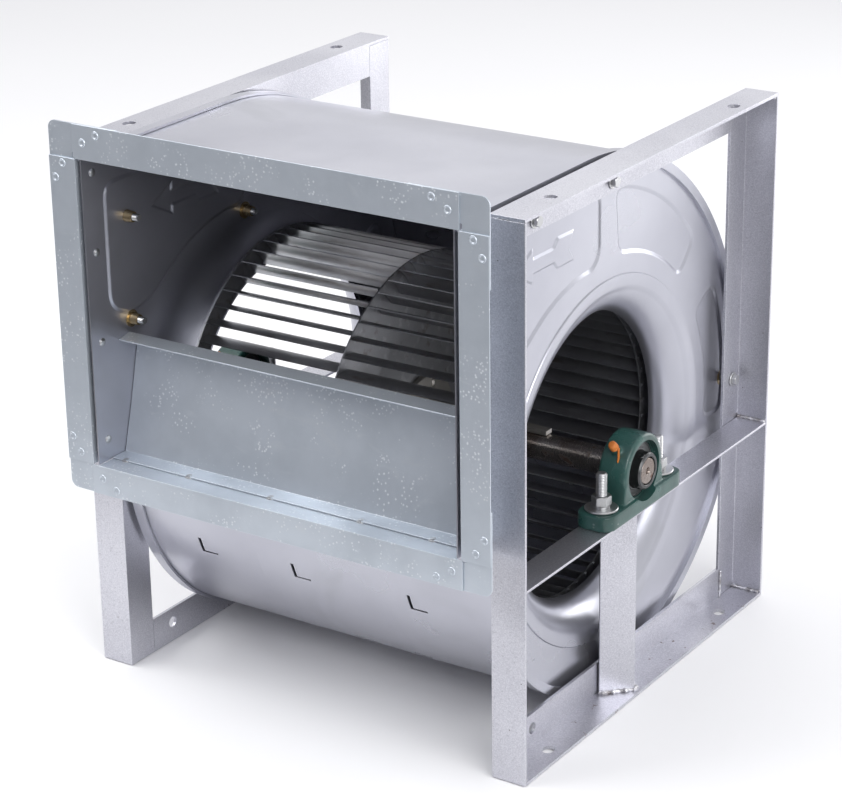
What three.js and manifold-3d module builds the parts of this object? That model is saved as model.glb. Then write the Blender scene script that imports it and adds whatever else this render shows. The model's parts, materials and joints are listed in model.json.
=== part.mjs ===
// Double-inlet centrifugal blower with a forward-curved wheel, in a scroll housing
// carried by two welded angle-iron side frames.
// Millimetres, +Z up. +X runs along the shaft to the free end, -X to the drive end,
// -Y is the outlet side. The origin is the centre of the footprint, on the floor.
import * as THREE from 'three';
import * as BufferGeometryUtils from 'three/addons/utils/BufferGeometryUtils.js';
import Module from 'manifold-3d';

const wasm = await Module();
wasm.setup();

// ---- driving dimensions ----
const GAP = 0.3;                 // clearance between pieces that touch
const SHEET = 1.5;               // housing sheet thickness

// side frames: 40 mm angle iron, measured from the front face of the frames
const FRAME_HALF_WIDTH = 236;    // mid-plane to the inner face of a frame
const FRAME_DEPTH = 530;
const FRAME_HEIGHT = 603;
const ANGLE_LEG = 40;
const ANGLE_WALL = 3.5;
const BAR_THICKNESS = 3;
const HOLE_INSET = 23;           // frame face to the centre of a mounting hole
const HOLE_Y = [74, 456];        // mounting holes along the rails
const HOLE_HALF_LENGTH = 8;
const HOLE_RADIUS = 6.5;

// shaft and bearings (30 mm pillow blocks)
const SHAFT_Y = 243.5;
const SHAFT_Z = 261;
const SHAFT_RADIUS = 15;
const SHAFT_FREE_END = 278.5;
const SHAFT_DRIVE_END = -340;
const BEARING_X = 257;
const BEARING_HEIGHT = 42.9;     // foot to shaft centre
const BEARING_LENGTH = 165;
const BEARING_FOOT_WIDTH = 46;
const BEARING_FOOT = 17;
const BEARING_BODY_WIDTH = 36;
const BEARING_DOME = 40;
const BEARING_BOLT_PITCH = 120;
const BOLT_RADIUS = 6;
const WASHER_RADIUS = 17;

// housing
const PLATE_X = 227;             // outer face of a side plate
const SEAM_X = 231.5;            // outer face of its folded seam
const SEAM_INNER_X = 218.5;
const SEAM_WALL = 3;
const SEAM_WIDTH = 7;
const HOUSING_TOP = 602;
const NECK_FRONT = -45.5;        // front edge of the side plates
const NECK_BOTTOM = 261;
const SCROLL_REAR = 538;
const SCROLL_BOTTOM = 5.5;
const SCROLL_FRONT = 6.5;
const SCROLL_CROWN_Y = 195;      // where the flat top begins
const INLET_OUTER = 204;
const INLET_THROAT = 157;
const INLET_DEPTH = 35;

// outlet flange
const FLANGE_Y = -47.7;
const FLANGE_HALF_WIDTH = 266;
const FLANGE_STRIP = 32.6;
const FLANGE_TOP = 635.6;
const FLANGE_BOTTOM = 228.4;
const FLANGE_RETURN = 46;

// wheel
const WHEEL_X = -6;
const WHEEL_HALF_LENGTH = 186;
const WHEEL_RADIUS = 190.5;
const WHEEL_INNER = 162;
const BLADE_COUNT = 56;
const BLADE_WALL = 1.4;
const BLADE_LEAD = 5;            // degrees the tip leads the heel
const DISC_WALL = 1.8;
const RING_WALL = 3;

// ---- placement of the whole ----
const MID_X = -(SHAFT_DRIVE_END + BEARING_X + BEARING_FOOT_WIDTH / 2) / 2;
const MID_Y = -(FLANGE_Y + SCROLL_REAR + SEAM_WALL + GAP) / 2;
const blower = new THREE.Group();
const body = new THREE.Group();
body.position.set(MID_X, MID_Y, 0);
blower.add(body);

// ---- finishes ----
const FINISHES = {
  frame_paint: { color: 0xcfcfda, roughness: 0.55, metalness: 0.6 },
  galvanized: { color: 0xb9bfc8, roughness: 0.4, metalness: 0.85 },
  flange_zinc: { color: 0x9fabb6, roughness: 0.45, metalness: 0.8 },
  wheel_steel: { color: 0x5b5d63, roughness: 0.45, metalness: 0.85 },
  shaft_steel: { color: 0x6b625c, roughness: 0.35, metalness: 0.9 },
  green_casting: { color: 0x2f4f4c, roughness: 0.5, metalness: 0.2 },
  bearing_steel: { color: 0x3a3a40, roughness: 0.3, metalness: 0.9 },
  orange_plastic: { color: 0xc86a1e, roughness: 0.5, metalness: 0.0 },
  zinc_fastener: { color: 0xb5b2a8, roughness: 0.35, metalness: 0.9 },
};

function place(name, geometry, finish) {
  const mesh = new THREE.Mesh(geometry, new THREE.MeshStandardMaterial(FINISHES[finish]));
  mesh.name = name;
  body.add(mesh);
}

// ---- solids: joining and cutting ----
function signedVolume(geometry) {
  const p = geometry.attributes.position;
  const index = geometry.index.array;
  const a = new THREE.Vector3();
  const b = new THREE.Vector3();
  const c = new THREE.Vector3();
  let volume = 0;
  for (let i = 0; i < index.length; i += 3) {
    a.fromBufferAttribute(p, index[i]);
    b.fromBufferAttribute(p, index[i + 1]);
    c.fromBufferAttribute(p, index[i + 2]);
    volume += a.dot(b.cross(c));
  }
  return volume;
}

// merges shared vertices and turns the faces outwards
function closed(geometry) {
  geometry.deleteAttribute('normal');
  geometry.deleteAttribute('uv');
  const merged = BufferGeometryUtils.mergeVertices(geometry, 1e-4);
  if (signedVolume(merged) < 0) {
    const index = merged.index.array;
    for (let i = 0; i < index.length; i += 3) {
      [index[i], index[i + 1]] = [index[i + 1], index[i]];
    }
  }
  return merged;
}

function toSolid(geometry) {
  const merged = closed(geometry);
  return new wasm.Manifold(new wasm.Mesh({
    numProp: 3,
    vertProperties: new Float32Array(merged.attributes.position.array),
    triVerts: new Uint32Array(merged.index.array),
  }));
}

function toGeometry(solid) {
  const mesh = solid.getMesh();
  const geometry = new THREE.BufferGeometry();
  geometry.setAttribute('position', new THREE.BufferAttribute(mesh.vertProperties, 3));
  geometry.setIndex(new THREE.BufferAttribute(mesh.triVerts, 1));
  return geometry;
}

function join(geometries) {
  return geometries.map(toSolid).reduce((sum, next) => sum.add(next));
}

function cut(geometries, tools) {
  return toGeometry(tools.map(toSolid).reduce((rest, tool) => rest.subtract(tool), join(geometries)));
}

// ---- solids: shapes ----
function block(x0, x1, y0, y1, z0, z1) {
  const geometry = new THREE.BoxGeometry(x1 - x0, y1 - y0, z1 - z0);
  return geometry.translate((x0 + x1) / 2, (y0 + y1) / 2, (z0 + z1) / 2);
}

function outline(points) {
  return new THREE.Shape(points.map(([u, v]) => new THREE.Vector2(u, v)));
}

// a profile drawn in (y, z), drawn out along x
function extrudeX(shape, x0, x1, curveSegments = 12) {
  const geometry = new THREE.ExtrudeGeometry(shape, { depth: x1 - x0, bevelEnabled: false, curveSegments });
  const axes = new THREE.Matrix4().makeBasis(
    new THREE.Vector3(0, 1, 0), new THREE.Vector3(0, 0, 1), new THREE.Vector3(1, 0, 0));
  return geometry.applyMatrix4(axes).translate(x0, 0, 0);
}

// a profile drawn in (x, y), drawn up along z
function extrudeZ(shape, z0, z1, curveSegments = 8) {
  const geometry = new THREE.ExtrudeGeometry(shape, { depth: z1 - z0, bevelEnabled: false, curveSegments });
  return geometry.translate(0, 0, z0);
}

// a profile drawn in (x, z), drawn back along y
function extrudeY(shape, y0, y1, curveSegments = 8) {
  const geometry = new THREE.ExtrudeGeometry(shape, { depth: y1 - y0, bevelEnabled: false, curveSegments });
  return geometry.rotateX(Math.PI / 2).translate(0, y1, 0);
}

// a profile of [radius, x] points turned about the shaft axis
function turnedX(profile, segments) {
  const points = profile.map(([radius, x]) => new THREE.Vector2(radius, x));
  const geometry = new THREE.LatheGeometry(points, segments);
  return geometry.rotateZ(-Math.PI / 2);
}

function turnedOnShaft(profile, segments) {
  return closed(turnedX([...profile, profile[0]], segments)).translate(0, SHAFT_Y, SHAFT_Z);
}

function rodX(radius, x0, x1, y, z, segments = 12) {
  const geometry = new THREE.CylinderGeometry(radius, radius, x1 - x0, segments);
  return geometry.rotateZ(Math.PI / 2).translate((x0 + x1) / 2, y, z);
}

function rodZ(radius, z0, z1, x, y, segments = 12) {
  const geometry = new THREE.CylinderGeometry(radius, radius, z1 - z0, segments);
  return geometry.rotateX(Math.PI / 2).translate(x, y, (z0 + z1) / 2);
}

function slot(halfLength, radius) {
  const shape = new THREE.Shape();
  shape.absarc(halfLength - radius, 0, radius, -Math.PI / 2, Math.PI / 2, false);
  shape.absarc(radius - halfLength, 0, radius, Math.PI / 2, Math.PI * 1.5, false);
  return shape;
}

// swaps the two sides: a piece made for the right side is turned into its left one
function onSide(geometry, side) {
  if (side < 0) {
    geometry.scale(-1, 1, 1);
  }
  return closed(geometry);
}

// ---- the scroll ----
// Three quarter ellipses, from the cut-off below the outlet, round the bottom and the
// back, to the flat top. offset moves the line outwards.
const SCROLL_STEPS = 10;
const SCROLL_QUARTERS = [
  { y: SHAFT_Y, along: SHAFT_Y - SCROLL_FRONT, up: SHAFT_Z - SCROLL_BOTTOM, start: Math.PI },
  { y: SHAFT_Y, along: SCROLL_REAR - SHAFT_Y, up: SHAFT_Z - SCROLL_BOTTOM, start: Math.PI * 1.5 },
  { y: SCROLL_CROWN_Y, along: SCROLL_REAR - SCROLL_CROWN_Y, up: HOUSING_TOP - SHAFT_Z, start: 0 },
];

function scrollLine(offset) {
  const line = [];
  SCROLL_QUARTERS.forEach((quarter, number) => {
    for (let step = number === 0 ? 0 : 1; step <= SCROLL_STEPS; step += 1) {
      const turn = quarter.start + (Math.PI / 2) * (step / SCROLL_STEPS);
      const normal = new THREE.Vector2(Math.cos(turn) / quarter.along, Math.sin(turn) / quarter.up);
      normal.normalize().multiplyScalar(offset);
      line.push([
        quarter.y + quarter.along * Math.cos(turn) + normal.x,
        SHAFT_Z + quarter.up * Math.sin(turn) + normal.y,
      ]);
    }
  });
  return line;
}

// a band that follows the scroll between two offsets and runs forward over the neck
function scrollBand(inner, outer, neckFront) {
  const outside = [...scrollLine(outer), [neckFront, HOUSING_TOP + outer]];
  const inside = [...scrollLine(inner), [neckFront, HOUSING_TOP + inner]];
  return outline([...outside, ...inside.reverse()]);
}

// ---- housing ----
const SIDES = { right: 1, left: -1 };
const SCREW_HOLE = 4.6;
const FRAME_SCREWS = {
  right: { top_front: [77.5, 575.5], top_rear: [230, 575.5], rear: [511, 268.7] },
  left: { front_upper: [20, 521], front_lower: [20, 407] },
};

function screwHoles(sideName, x0, x1) {
  return Object.values(FRAME_SCREWS[sideName]).map(([y, z]) => rodX(SCREW_HOLE, x0, x1, y, z));
}

// flat plate, its seam folded round the scroll and the neck, and the inlet cut out
function sidePlate(sideName) {
  const plate = outline([
    [NECK_FRONT, HOUSING_TOP - GAP], [NECK_FRONT, NECK_BOTTOM + GAP],
    [SCROLL_FRONT + GAP, NECK_BOTTOM + GAP], ...scrollLine(-GAP),
  ]);
  const face = extrudeX(plate, PLATE_X - SHEET, PLATE_X);
  const seamShape = scrollBand(-SEAM_WIDTH, SEAM_WALL + GAP, NECK_FRONT + 3);
  const seamFace = extrudeX(seamShape, PLATE_X - GAP, SEAM_X);
  const wrapShape = scrollBand(GAP, SEAM_WALL + GAP, NECK_FRONT + 3);
  const seamWrap = extrudeX(wrapShape, SEAM_INNER_X, SEAM_X);
  const hem = block(PLATE_X - GAP, SEAM_X, NECK_FRONT, NECK_FRONT + 5, NECK_BOTTOM + GAP, HOUSING_TOP - 2);
  const inlet = rodX(INLET_OUTER + GAP, PLATE_X - 6, PLATE_X + 6, SHAFT_Y, SHAFT_Z, 36);
  const holes = screwHoles(sideName, PLATE_X - 6, PLATE_X + 3);
  return onSide(cut([face, seamFace, seamWrap, hem], [inlet, ...holes]), SIDES[sideName]);
}

// bell-mouth: a quarter ellipse from the plate down to the throat
function inletCone(sideName) {
  const drop = INLET_OUTER - INLET_THROAT;
  const throatX = PLATE_X - INLET_DEPTH;
  const curve = (inset) => {
    const points = [];
    for (let step = 0; step <= 4; step += 1) {
      const turn = (Math.PI / 2) * (step / 4);
      points.push([
        INLET_OUTER - (drop - inset) * Math.sin(turn),
        throatX + (INLET_DEPTH - inset) * Math.cos(turn),
      ]);
    }
    return points;
  };
  return onSide(turnedOnShaft([...curve(0), ...curve(SHEET).reverse()], 36), SIDES[sideName]);
}

// the rolled sheet between the side plates, its front edge turned out under the outlet
function scrollWrapper() {
  const halfWidth = PLATE_X - SHEET - GAP;
  const sheet = extrudeX(scrollBand(-SHEET, 0, NECK_FRONT), -halfWidth, halfWidth);
  const lipHalf = SEAM_INNER_X - GAP;
  const lipFront = FLANGE_Y + FLANGE_RETURN + GAP;
  const lip = block(-lipHalf, lipHalf, lipFront, SCROLL_FRONT + SHEET, NECK_BOTTOM - SHEET, NECK_BOTTOM);
  return toGeometry(join([sheet, lip]));
}

// a folded sheet seen on its edge: a line, and the same line moved to its left
function foldedSheet(line) {
  const points = line.map(([u, v]) => new THREE.Vector2(u, v));
  const normals = points.slice(1).map((point, i) => {
    const along = point.clone().sub(points[i]).normalize();
    return new THREE.Vector2(-along.y, along.x);
  });
  const aside = points.map((point, i) => {
    const before = normals[Math.max(i - 1, 0)];
    const after = normals[Math.min(i, normals.length - 1)];
    return before.clone().add(after).multiplyScalar(SHEET / (1 + before.dot(after))).add(point);
  });
  return new THREE.Shape([...points, ...aside.reverse()]);
}

// plate that closes the lower outlet and ends in the cut-off lip
function cutoffPlate() {
  const rest = NECK_BOTTOM + GAP;
  const line = [[-24, rest], [-2, rest], [12, 310], [27, 373], [28, 380], [15, 393.5], [-3.5, 390.3]];
  const halfWidth = PLATE_X - SHEET - GAP;
  return closed(extrudeX(foldedSheet(line), -halfWidth, halfWidth));
}

// ---- outlet flange: four angle strips over four corner plates ----
function outletFlange(edge) {
  const back = FLANGE_Y + SHEET;
  const returnEnd = FLANGE_Y + FLANGE_RETURN;
  const duct = PLATE_X - SHEET - GAP;
  const inner = FLANGE_HALF_WIDTH - FLANGE_STRIP;
  const ceiling = HOUSING_TOP - SHEET - GAP;
  const floor = NECK_BOTTOM;
  if (edge === 'top') {
    const face = block(-inner, inner, FLANGE_Y, back, ceiling - SHEET, FLANGE_TOP);
    return toGeometry(join([face, block(-duct, duct, FLANGE_Y, returnEnd, ceiling - SHEET, ceiling)]));
  }
  if (edge === 'bottom') {
    const face = block(-inner, inner, FLANGE_Y, back, FLANGE_BOTTOM, floor);
    return toGeometry(join([face, block(-duct, duct, FLANGE_Y, returnEnd, floor - SHEET, floor)]));
  }
  const [z0, z1] = [floor + GAP, ceiling - SHEET - GAP];
  const face = block(SEAM_X + GAP, FLANGE_HALF_WIDTH, FLANGE_Y, back, z0, z1);
  const leg = block(SEAM_X + GAP, SEAM_X + GAP + SHEET, FLANGE_Y, returnEnd, z0, z1);
  return onSide(toGeometry(join([face, leg])), SIDES[edge]);
}

function cornerPlate(sideName, level) {
  const reach = 60;
  const inner = FLANGE_HALF_WIDTH - FLANGE_STRIP + 2;
  const outer = FLANGE_HALF_WIDTH;
  const width = FLANGE_STRIP - 2;
  const radius = 9;
  const shape = new THREE.Shape();
  shape.moveTo(inner - reach, 0);
  shape.lineTo(outer - radius, 0);
  shape.absarc(outer - radius, radius, radius, -Math.PI / 2, 0, false);
  shape.lineTo(outer, width + reach);
  shape.lineTo(inner, width + reach);
  shape.lineTo(inner, width);
  shape.lineTo(inner - reach, width);
  const y0 = FLANGE_Y + SHEET + GAP;
  const plate = closed(extrudeY(shape, y0, y0 + 2, 6));
  if (level === 'top') {
    plate.scale(1, 1, -1).translate(0, 0, FLANGE_TOP);
  } else {
    plate.translate(0, 0, FLANGE_BOTTOM);
  }
  return onSide(plate, SIDES[sideName]);
}

// ---- side frames ----
const FRAME_OUTER = FRAME_HALF_WIDTH + ANGLE_LEG;
const WEB_OUTER = FRAME_HALF_WIDTH + ANGLE_WALL;

function railHoles(z0, z1) {
  return HOLE_Y.map((y) => {
    const hole = extrudeZ(slot(HOLE_HALF_LENGTH, HOLE_RADIUS), z0, z1, 5);
    return hole.rotateZ(Math.PI / 2).translate(FRAME_HALF_WIDTH + HOLE_INSET, y, 0);
  });
}

function topRail(sideName) {
  const under = FRAME_HEIGHT - ANGLE_WALL;
  const web = block(
    FRAME_HALF_WIDTH, WEB_OUTER, ANGLE_LEG + GAP, FRAME_DEPTH - ANGLE_LEG - GAP,
    FRAME_HEIGHT - ANGLE_LEG, FRAME_HEIGHT);
  const flange = block(FRAME_HALF_WIDTH, FRAME_OUTER, 0, FRAME_DEPTH, under, FRAME_HEIGHT);
  const screws = screwHoles(sideName, FRAME_HALF_WIDTH - 2, WEB_OUTER + 2);
  const cuts = [...railHoles(under - 2, FRAME_HEIGHT + 2), ...screws];
  return onSide(cut([web, flange], cuts), SIDES[sideName]);
}

function bottomRail(sideName) {
  const web = block(
    FRAME_HALF_WIDTH, WEB_OUTER, ANGLE_LEG + GAP, FRAME_DEPTH - ANGLE_LEG - GAP, 0, ANGLE_LEG);
  const flange = block(
    WEB_OUTER + GAP, FRAME_OUTER, ANGLE_WALL + GAP, FRAME_DEPTH - ANGLE_WALL - GAP, 0, ANGLE_WALL);
  const heel = block(
    FRAME_HALF_WIDTH, WEB_OUTER + 1, ANGLE_LEG + GAP, FRAME_DEPTH - ANGLE_LEG - GAP, 0, ANGLE_WALL);
  const pipeHole = rodX(HOLE_RADIUS, FRAME_HALF_WIDTH - 2, WEB_OUTER + 2, HOLE_Y[0], 23);
  return onSide(cut([web, flange, heel], [...railHoles(-2, ANGLE_WALL + 2), pipeHole]), SIDES[sideName]);
}

function post(sideName, end) {
  const top = FRAME_HEIGHT - ANGLE_WALL - GAP;
  const web = block(FRAME_HALF_WIDTH, WEB_OUTER, 0, ANGLE_LEG, 0, top);
  const flange = block(FRAME_HALF_WIDTH, FRAME_OUTER, 0, ANGLE_WALL, 0, top);
  const angle = toGeometry(join([web, flange]));
  if (end === 'rear') {
    angle.scale(1, -1, 1).translate(0, FRAME_DEPTH, 0);
  }
  const screws = screwHoles(sideName, FRAME_HALF_WIDTH - 2, WEB_OUTER + 2);
  return onSide(cut([angle], screws), SIDES[sideName]);
}

const BAR_TOP = SHAFT_Z - BEARING_HEIGHT;
const BAR_UNDER = BAR_TOP - BAR_THICKNESS;

function bearingBar(sideName) {
  const bar = block(
    WEB_OUTER + GAP, FRAME_OUTER, ANGLE_WALL + GAP, FRAME_DEPTH - ANGLE_WALL - GAP, BAR_UNDER, BAR_TOP);
  const holes = [-1, 1].map((end) => rodZ(
    BOLT_RADIUS + GAP * 2, BAR_UNDER - 2, BAR_TOP + 2, BEARING_X, SHAFT_Y + end * BEARING_BOLT_PITCH / 2));
  return onSide(cut([bar], holes), SIDES[sideName]);
}

// angle iron set cornerwise under the bar, its edge outwards
function barUpright(sideName) {
  const edgeX = 271;
  const edgeY = 236;
  const reach = ANGLE_LEG * Math.SQRT1_2;
  const wall = ANGLE_WALL * Math.SQRT1_2;
  const shape = outline([
    [edgeX, edgeY], [edgeX - reach, edgeY + reach], [edgeX - reach - wall, edgeY + reach - wall],
    [edgeX - wall * 2, edgeY], [edgeX - reach - wall, edgeY - reach + wall], [edgeX - reach, edgeY - reach],
  ]);
  return onSide(closed(extrudeZ(shape, ANGLE_WALL + GAP, BAR_UNDER - GAP)), SIDES[sideName]);
}

// screw, spacer and rivet nut that hold a side plate to its frame
function frameScrew(sideName, [y, z]) {
  const head = rodX(6.5, WEB_OUTER + GAP, WEB_OUTER + 6, y, z, 6);
  const shank = rodX(4, PLATE_X - 20, WEB_OUTER + 2, y, z, 6);
  const spacer = rodX(7.5, PLATE_X + GAP, FRAME_HALF_WIDTH - GAP, y, z, 8);
  const nut = rodX(6.5, PLATE_X - SHEET - 11, PLATE_X - SHEET - GAP, y, z, 6);
  return onSide(toGeometry(join([head, shank, spacer, nut])), SIDES[sideName]);
}

// ---- bearings ----
const INSERT_RADIUS = 30.7;
const RACE_RADIUS = 28.2;
const SEAL_RADIUS = 21.2;
const INNER_RING_RADIUS = 20;
const INNER_RACE_RADIUS = 17.9;
const BALL_CIRCLE = 23;
const BALL_RADIUS = 4.4;
const BALL_COUNT = 9;

function bearingHousing(sideName) {
  const shoulder = BEARING_BOLT_PITCH / 2 - WASHER_RADIUS - GAP * 2;
  const shoulderTop = BAR_TOP + BEARING_FOOT + 4;
  const dome = new THREE.Shape();
  dome.moveTo(SHAFT_Y + shoulder, BAR_TOP + 6);
  dome.lineTo(SHAFT_Y + shoulder, shoulderTop);
  dome.absarc(SHAFT_Y, SHAFT_Z, BEARING_DOME, 0, Math.PI, false);
  dome.lineTo(SHAFT_Y - shoulder, shoulderTop);
  dome.lineTo(SHAFT_Y - shoulder, BAR_TOP + 6);
  const half = BEARING_BODY_WIDTH / 2;
  const casting = extrudeX(dome, BEARING_X - half, BEARING_X + half, 14);
  const footShape = slot(BEARING_LENGTH / 2, BEARING_FOOT_WIDTH / 2);
  const foot = extrudeZ(footShape, BAR_TOP + GAP, BAR_TOP + BEARING_FOOT, 8);
  foot.rotateZ(Math.PI / 2).translate(BEARING_X, SHAFT_Y, 0);
  const bore = rodX(INSERT_RADIUS + GAP, BEARING_X - 30, BEARING_X + 30, SHAFT_Y, SHAFT_Z, 28);
  const slots = [-1, 1].map((end) => {
    const hole = extrudeZ(slot(10, BOLT_RADIUS + 2), BAR_TOP - 2, BAR_TOP + 40, 4);
    return hole.rotateZ(Math.PI / 2).translate(BEARING_X, SHAFT_Y + end * BEARING_BOLT_PITCH / 2, 0);
  });
  return onSide(cut([casting, foot], [bore, ...slots]), SIDES[sideName]);
}

// outer ring with its two seals turned in one profile
function bearingOuterRing(sideName) {
  const half = 9.5;
  const wall = 1.2;
  const ring = turnedOnShaft([
    [INSERT_RADIUS, -half], [INSERT_RADIUS, half], [SEAL_RADIUS, half], [SEAL_RADIUS, half - wall],
    [RACE_RADIUS, half - wall], [RACE_RADIUS, wall - half], [SEAL_RADIUS, wall - half],
    [SEAL_RADIUS, -half],
  ], 20).translate(BEARING_X, 0, 0);
  return onSide(ring, SIDES[sideName]);
}

function bearingInnerRing(sideName) {
  const bore = SHAFT_RADIUS + GAP;
  const ring = turnedOnShaft([
    [bore, -15.9], [INNER_RING_RADIUS, -15.9], [INNER_RING_RADIUS, -6], [INNER_RACE_RADIUS, -6],
    [INNER_RACE_RADIUS, 6], [INNER_RING_RADIUS, 6], [INNER_RING_RADIUS, 22.2], [bore, 22.2],
  ], 20).translate(BEARING_X, 0, 0);
  return onSide(ring, SIDES[sideName]);
}

// the balls, joined by their cage
function bearingBallRow(sideName) {
  const cage = turnedOnShaft([
    [BALL_CIRCLE - 0.8, -2], [BALL_CIRCLE + 0.8, -2], [BALL_CIRCLE + 0.8, 2], [BALL_CIRCLE - 0.8, 2],
  ], 18);
  const balls = [];
  for (let ball = 0; ball < BALL_COUNT; ball += 1) {
    const turn = (ball / BALL_COUNT) * Math.PI * 2;
    balls.push(new THREE.SphereGeometry(BALL_RADIUS, 6, 4).translate(
      0, SHAFT_Y + BALL_CIRCLE * Math.cos(turn), SHAFT_Z + BALL_CIRCLE * Math.sin(turn)));
  }
  return onSide(toGeometry(join([cage, ...balls])).translate(BEARING_X, 0, 0), SIDES[sideName]);
}

// nipple under its push-on cap, leaning out of the crown of the casting
function greaseNipple(sideName) {
  const profile = [[0, 0], [3.4, 0], [3.4, 4], [4.6, 5], [4.6, 13], [3.2, 15.5], [0, 16]];
  const nipple = new THREE.LatheGeometry(profile.map(([r, h]) => new THREE.Vector2(r, h)), 10);
  const lean = Math.PI * 0.75;
  const start = BEARING_DOME + GAP * 2;
  nipple.rotateX(lean).translate(
    BEARING_X, SHAFT_Y + start * Math.cos(lean), SHAFT_Z + start * Math.sin(lean));
  return onSide(closed(nipple), SIDES[sideName]);
}

// ---- bearing fasteners ----
const FOOT_TOP = BAR_TOP + BEARING_FOOT;
const BOLT_HEAD = 7.5;
const WASHER_WALL = 2.5;
const NUT_HEIGHT = 10;
const BOLT_TOP = FOOT_TOP + 41;

function bearingBolt(sideName, y) {
  const head = rodZ(10.4, BAR_UNDER - BOLT_HEAD, BAR_UNDER - GAP, BEARING_X, y, 6);
  const shank = rodZ(BOLT_RADIUS, BAR_UNDER - 2, BOLT_TOP, BEARING_X, y, 12);
  return onSide(toGeometry(join([head, shank])), SIDES[sideName]);
}

function flatWasher(sideName, y) {
  const z = FOOT_TOP + GAP;
  const washer = cut(
    [rodZ(WASHER_RADIUS, z, z + WASHER_WALL, BEARING_X, y, 20)],
    [rodZ(BOLT_RADIUS + GAP, z - 1, z + WASHER_WALL + 1, BEARING_X, y, 12)]);
  return onSide(washer, SIDES[sideName]);
}

function hexNut(sideName, y) {
  const z = FOOT_TOP + WASHER_WALL + GAP * 2;
  const nut = cut(
    [rodZ(10.4, z, z + NUT_HEIGHT, BEARING_X, y, 6)],
    [rodZ(BOLT_RADIUS + GAP, z - 1, z + NUT_HEIGHT + 1, BEARING_X, y, 12)]);
  return onSide(nut, SIDES[sideName]);
}

// ---- rotor ----
const KEY = { width: 8, height: 7, length: 40, end: SHAFT_DRIVE_END + 5, seat: 11 };

function shaft() {
  const rod = rodX(SHAFT_RADIUS, SHAFT_DRIVE_END, SHAFT_FREE_END, SHAFT_Y, SHAFT_Z, 28);
  const halfKey = KEY.width / 2 + GAP;
  const keyway = block(
    KEY.end - GAP, KEY.end + KEY.length + GAP, SHAFT_Y - halfKey, SHAFT_Y + halfKey,
    SHAFT_Z + KEY.seat - GAP, SHAFT_Z + SHAFT_RADIUS + 2);
  const centreHole = new THREE.ConeGeometry(4, 8, 12);
  centreHole.rotateZ(Math.PI / 2).translate(SHAFT_FREE_END - 1, SHAFT_Y, SHAFT_Z);
  return cut([rod], [keyway, centreHole]);
}

function driveKey() {
  return closed(block(
    KEY.end, KEY.end + KEY.length, SHAFT_Y - KEY.width / 2, SHAFT_Y + KEY.width / 2,
    SHAFT_Z + KEY.seat, SHAFT_Z + KEY.seat + KEY.height));
}

function centreDisc() {
  const half = DISC_WALL / 2;
  return turnedOnShaft([
    [SHAFT_RADIUS + GAP, WHEEL_X - half], [WHEEL_RADIUS, WHEEL_X - half],
    [WHEEL_RADIUS, WHEEL_X + half], [SHAFT_RADIUS + GAP, WHEEL_X + half],
  ], 40);
}

function wheelHub() {
  const face = WHEEL_X + DISC_WALL / 2 + GAP;
  const bore = SHAFT_RADIUS + GAP;
  return turnedOnShaft([
    [bore, face], [52, face], [52, face + 7], [30, face + 9], [27, face + 14], [27, face + 50],
    [25.5, face + 52], [bore, face + 52],
  ], 20);
}

// long key that lies on the shaft in front of the hub
function hubKey() {
  const foot = SHAFT_Z + SHAFT_RADIUS + GAP;
  return closed(block(52, 157, SHAFT_Y - 5, SHAFT_Y + 7, foot, foot + 7));
}

function pointAt(radius, degrees) {
  const turn = THREE.MathUtils.degToRad(degrees);
  return [SHAFT_Y + radius * Math.cos(turn), SHAFT_Z + radius * Math.sin(turn)];
}

// one forward-curved blade, its tip leading its heel
function bladeShape(degrees) {
  const middle = (WHEEL_RADIUS + WHEEL_INNER) / 2 + 2;
  const half = THREE.MathUtils.radToDeg(BLADE_WALL / 2 / middle);
  const lead = BLADE_LEAD * 0.3;
  return outline([
    pointAt(WHEEL_INNER + 0.5, degrees), pointAt(middle, degrees + lead - half),
    pointAt(WHEEL_RADIUS - 0.2, degrees + BLADE_LEAD - half * 2), pointAt(WHEEL_RADIUS, degrees + BLADE_LEAD),
    pointAt(middle, degrees + lead + half),
  ]);
}

// blades and end ring of one side, on the right of the disc
function bladeRow(sideName) {
  const start = DISC_WALL / 2 + GAP;
  const blades = [];
  for (let blade = 0; blade < BLADE_COUNT; blade += 1) {
    blades.push(closed(extrudeX(bladeShape((blade * 360) / BLADE_COUNT), start, WHEEL_HALF_LENGTH - 1)));
  }
  const ring = turnedOnShaft([
    [WHEEL_INNER - 1, WHEEL_HALF_LENGTH - RING_WALL], [WHEEL_RADIUS + 0.5, WHEEL_HALF_LENGTH - RING_WALL],
    [WHEEL_RADIUS + 0.5, WHEEL_HALF_LENGTH], [WHEEL_INNER - 1, WHEEL_HALF_LENGTH],
  ], BLADE_COUNT / 2);
  const row = toGeometry(join([ring, BufferGeometryUtils.mergeGeometries(blades)]));
  return onSide(row, SIDES[sideName]).translate(WHEEL_X, 0, 0);
}

// ---- the assembly ----
place('scroll_wrapper', scrollWrapper(), 'galvanized');
place('cutoff_plate', cutoffPlate(), 'flange_zinc');
for (const strip of ['top', 'bottom', 'left', 'right']) {
  place(`outlet_flange_${strip}`, outletFlange(strip), 'flange_zinc');
}

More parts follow.
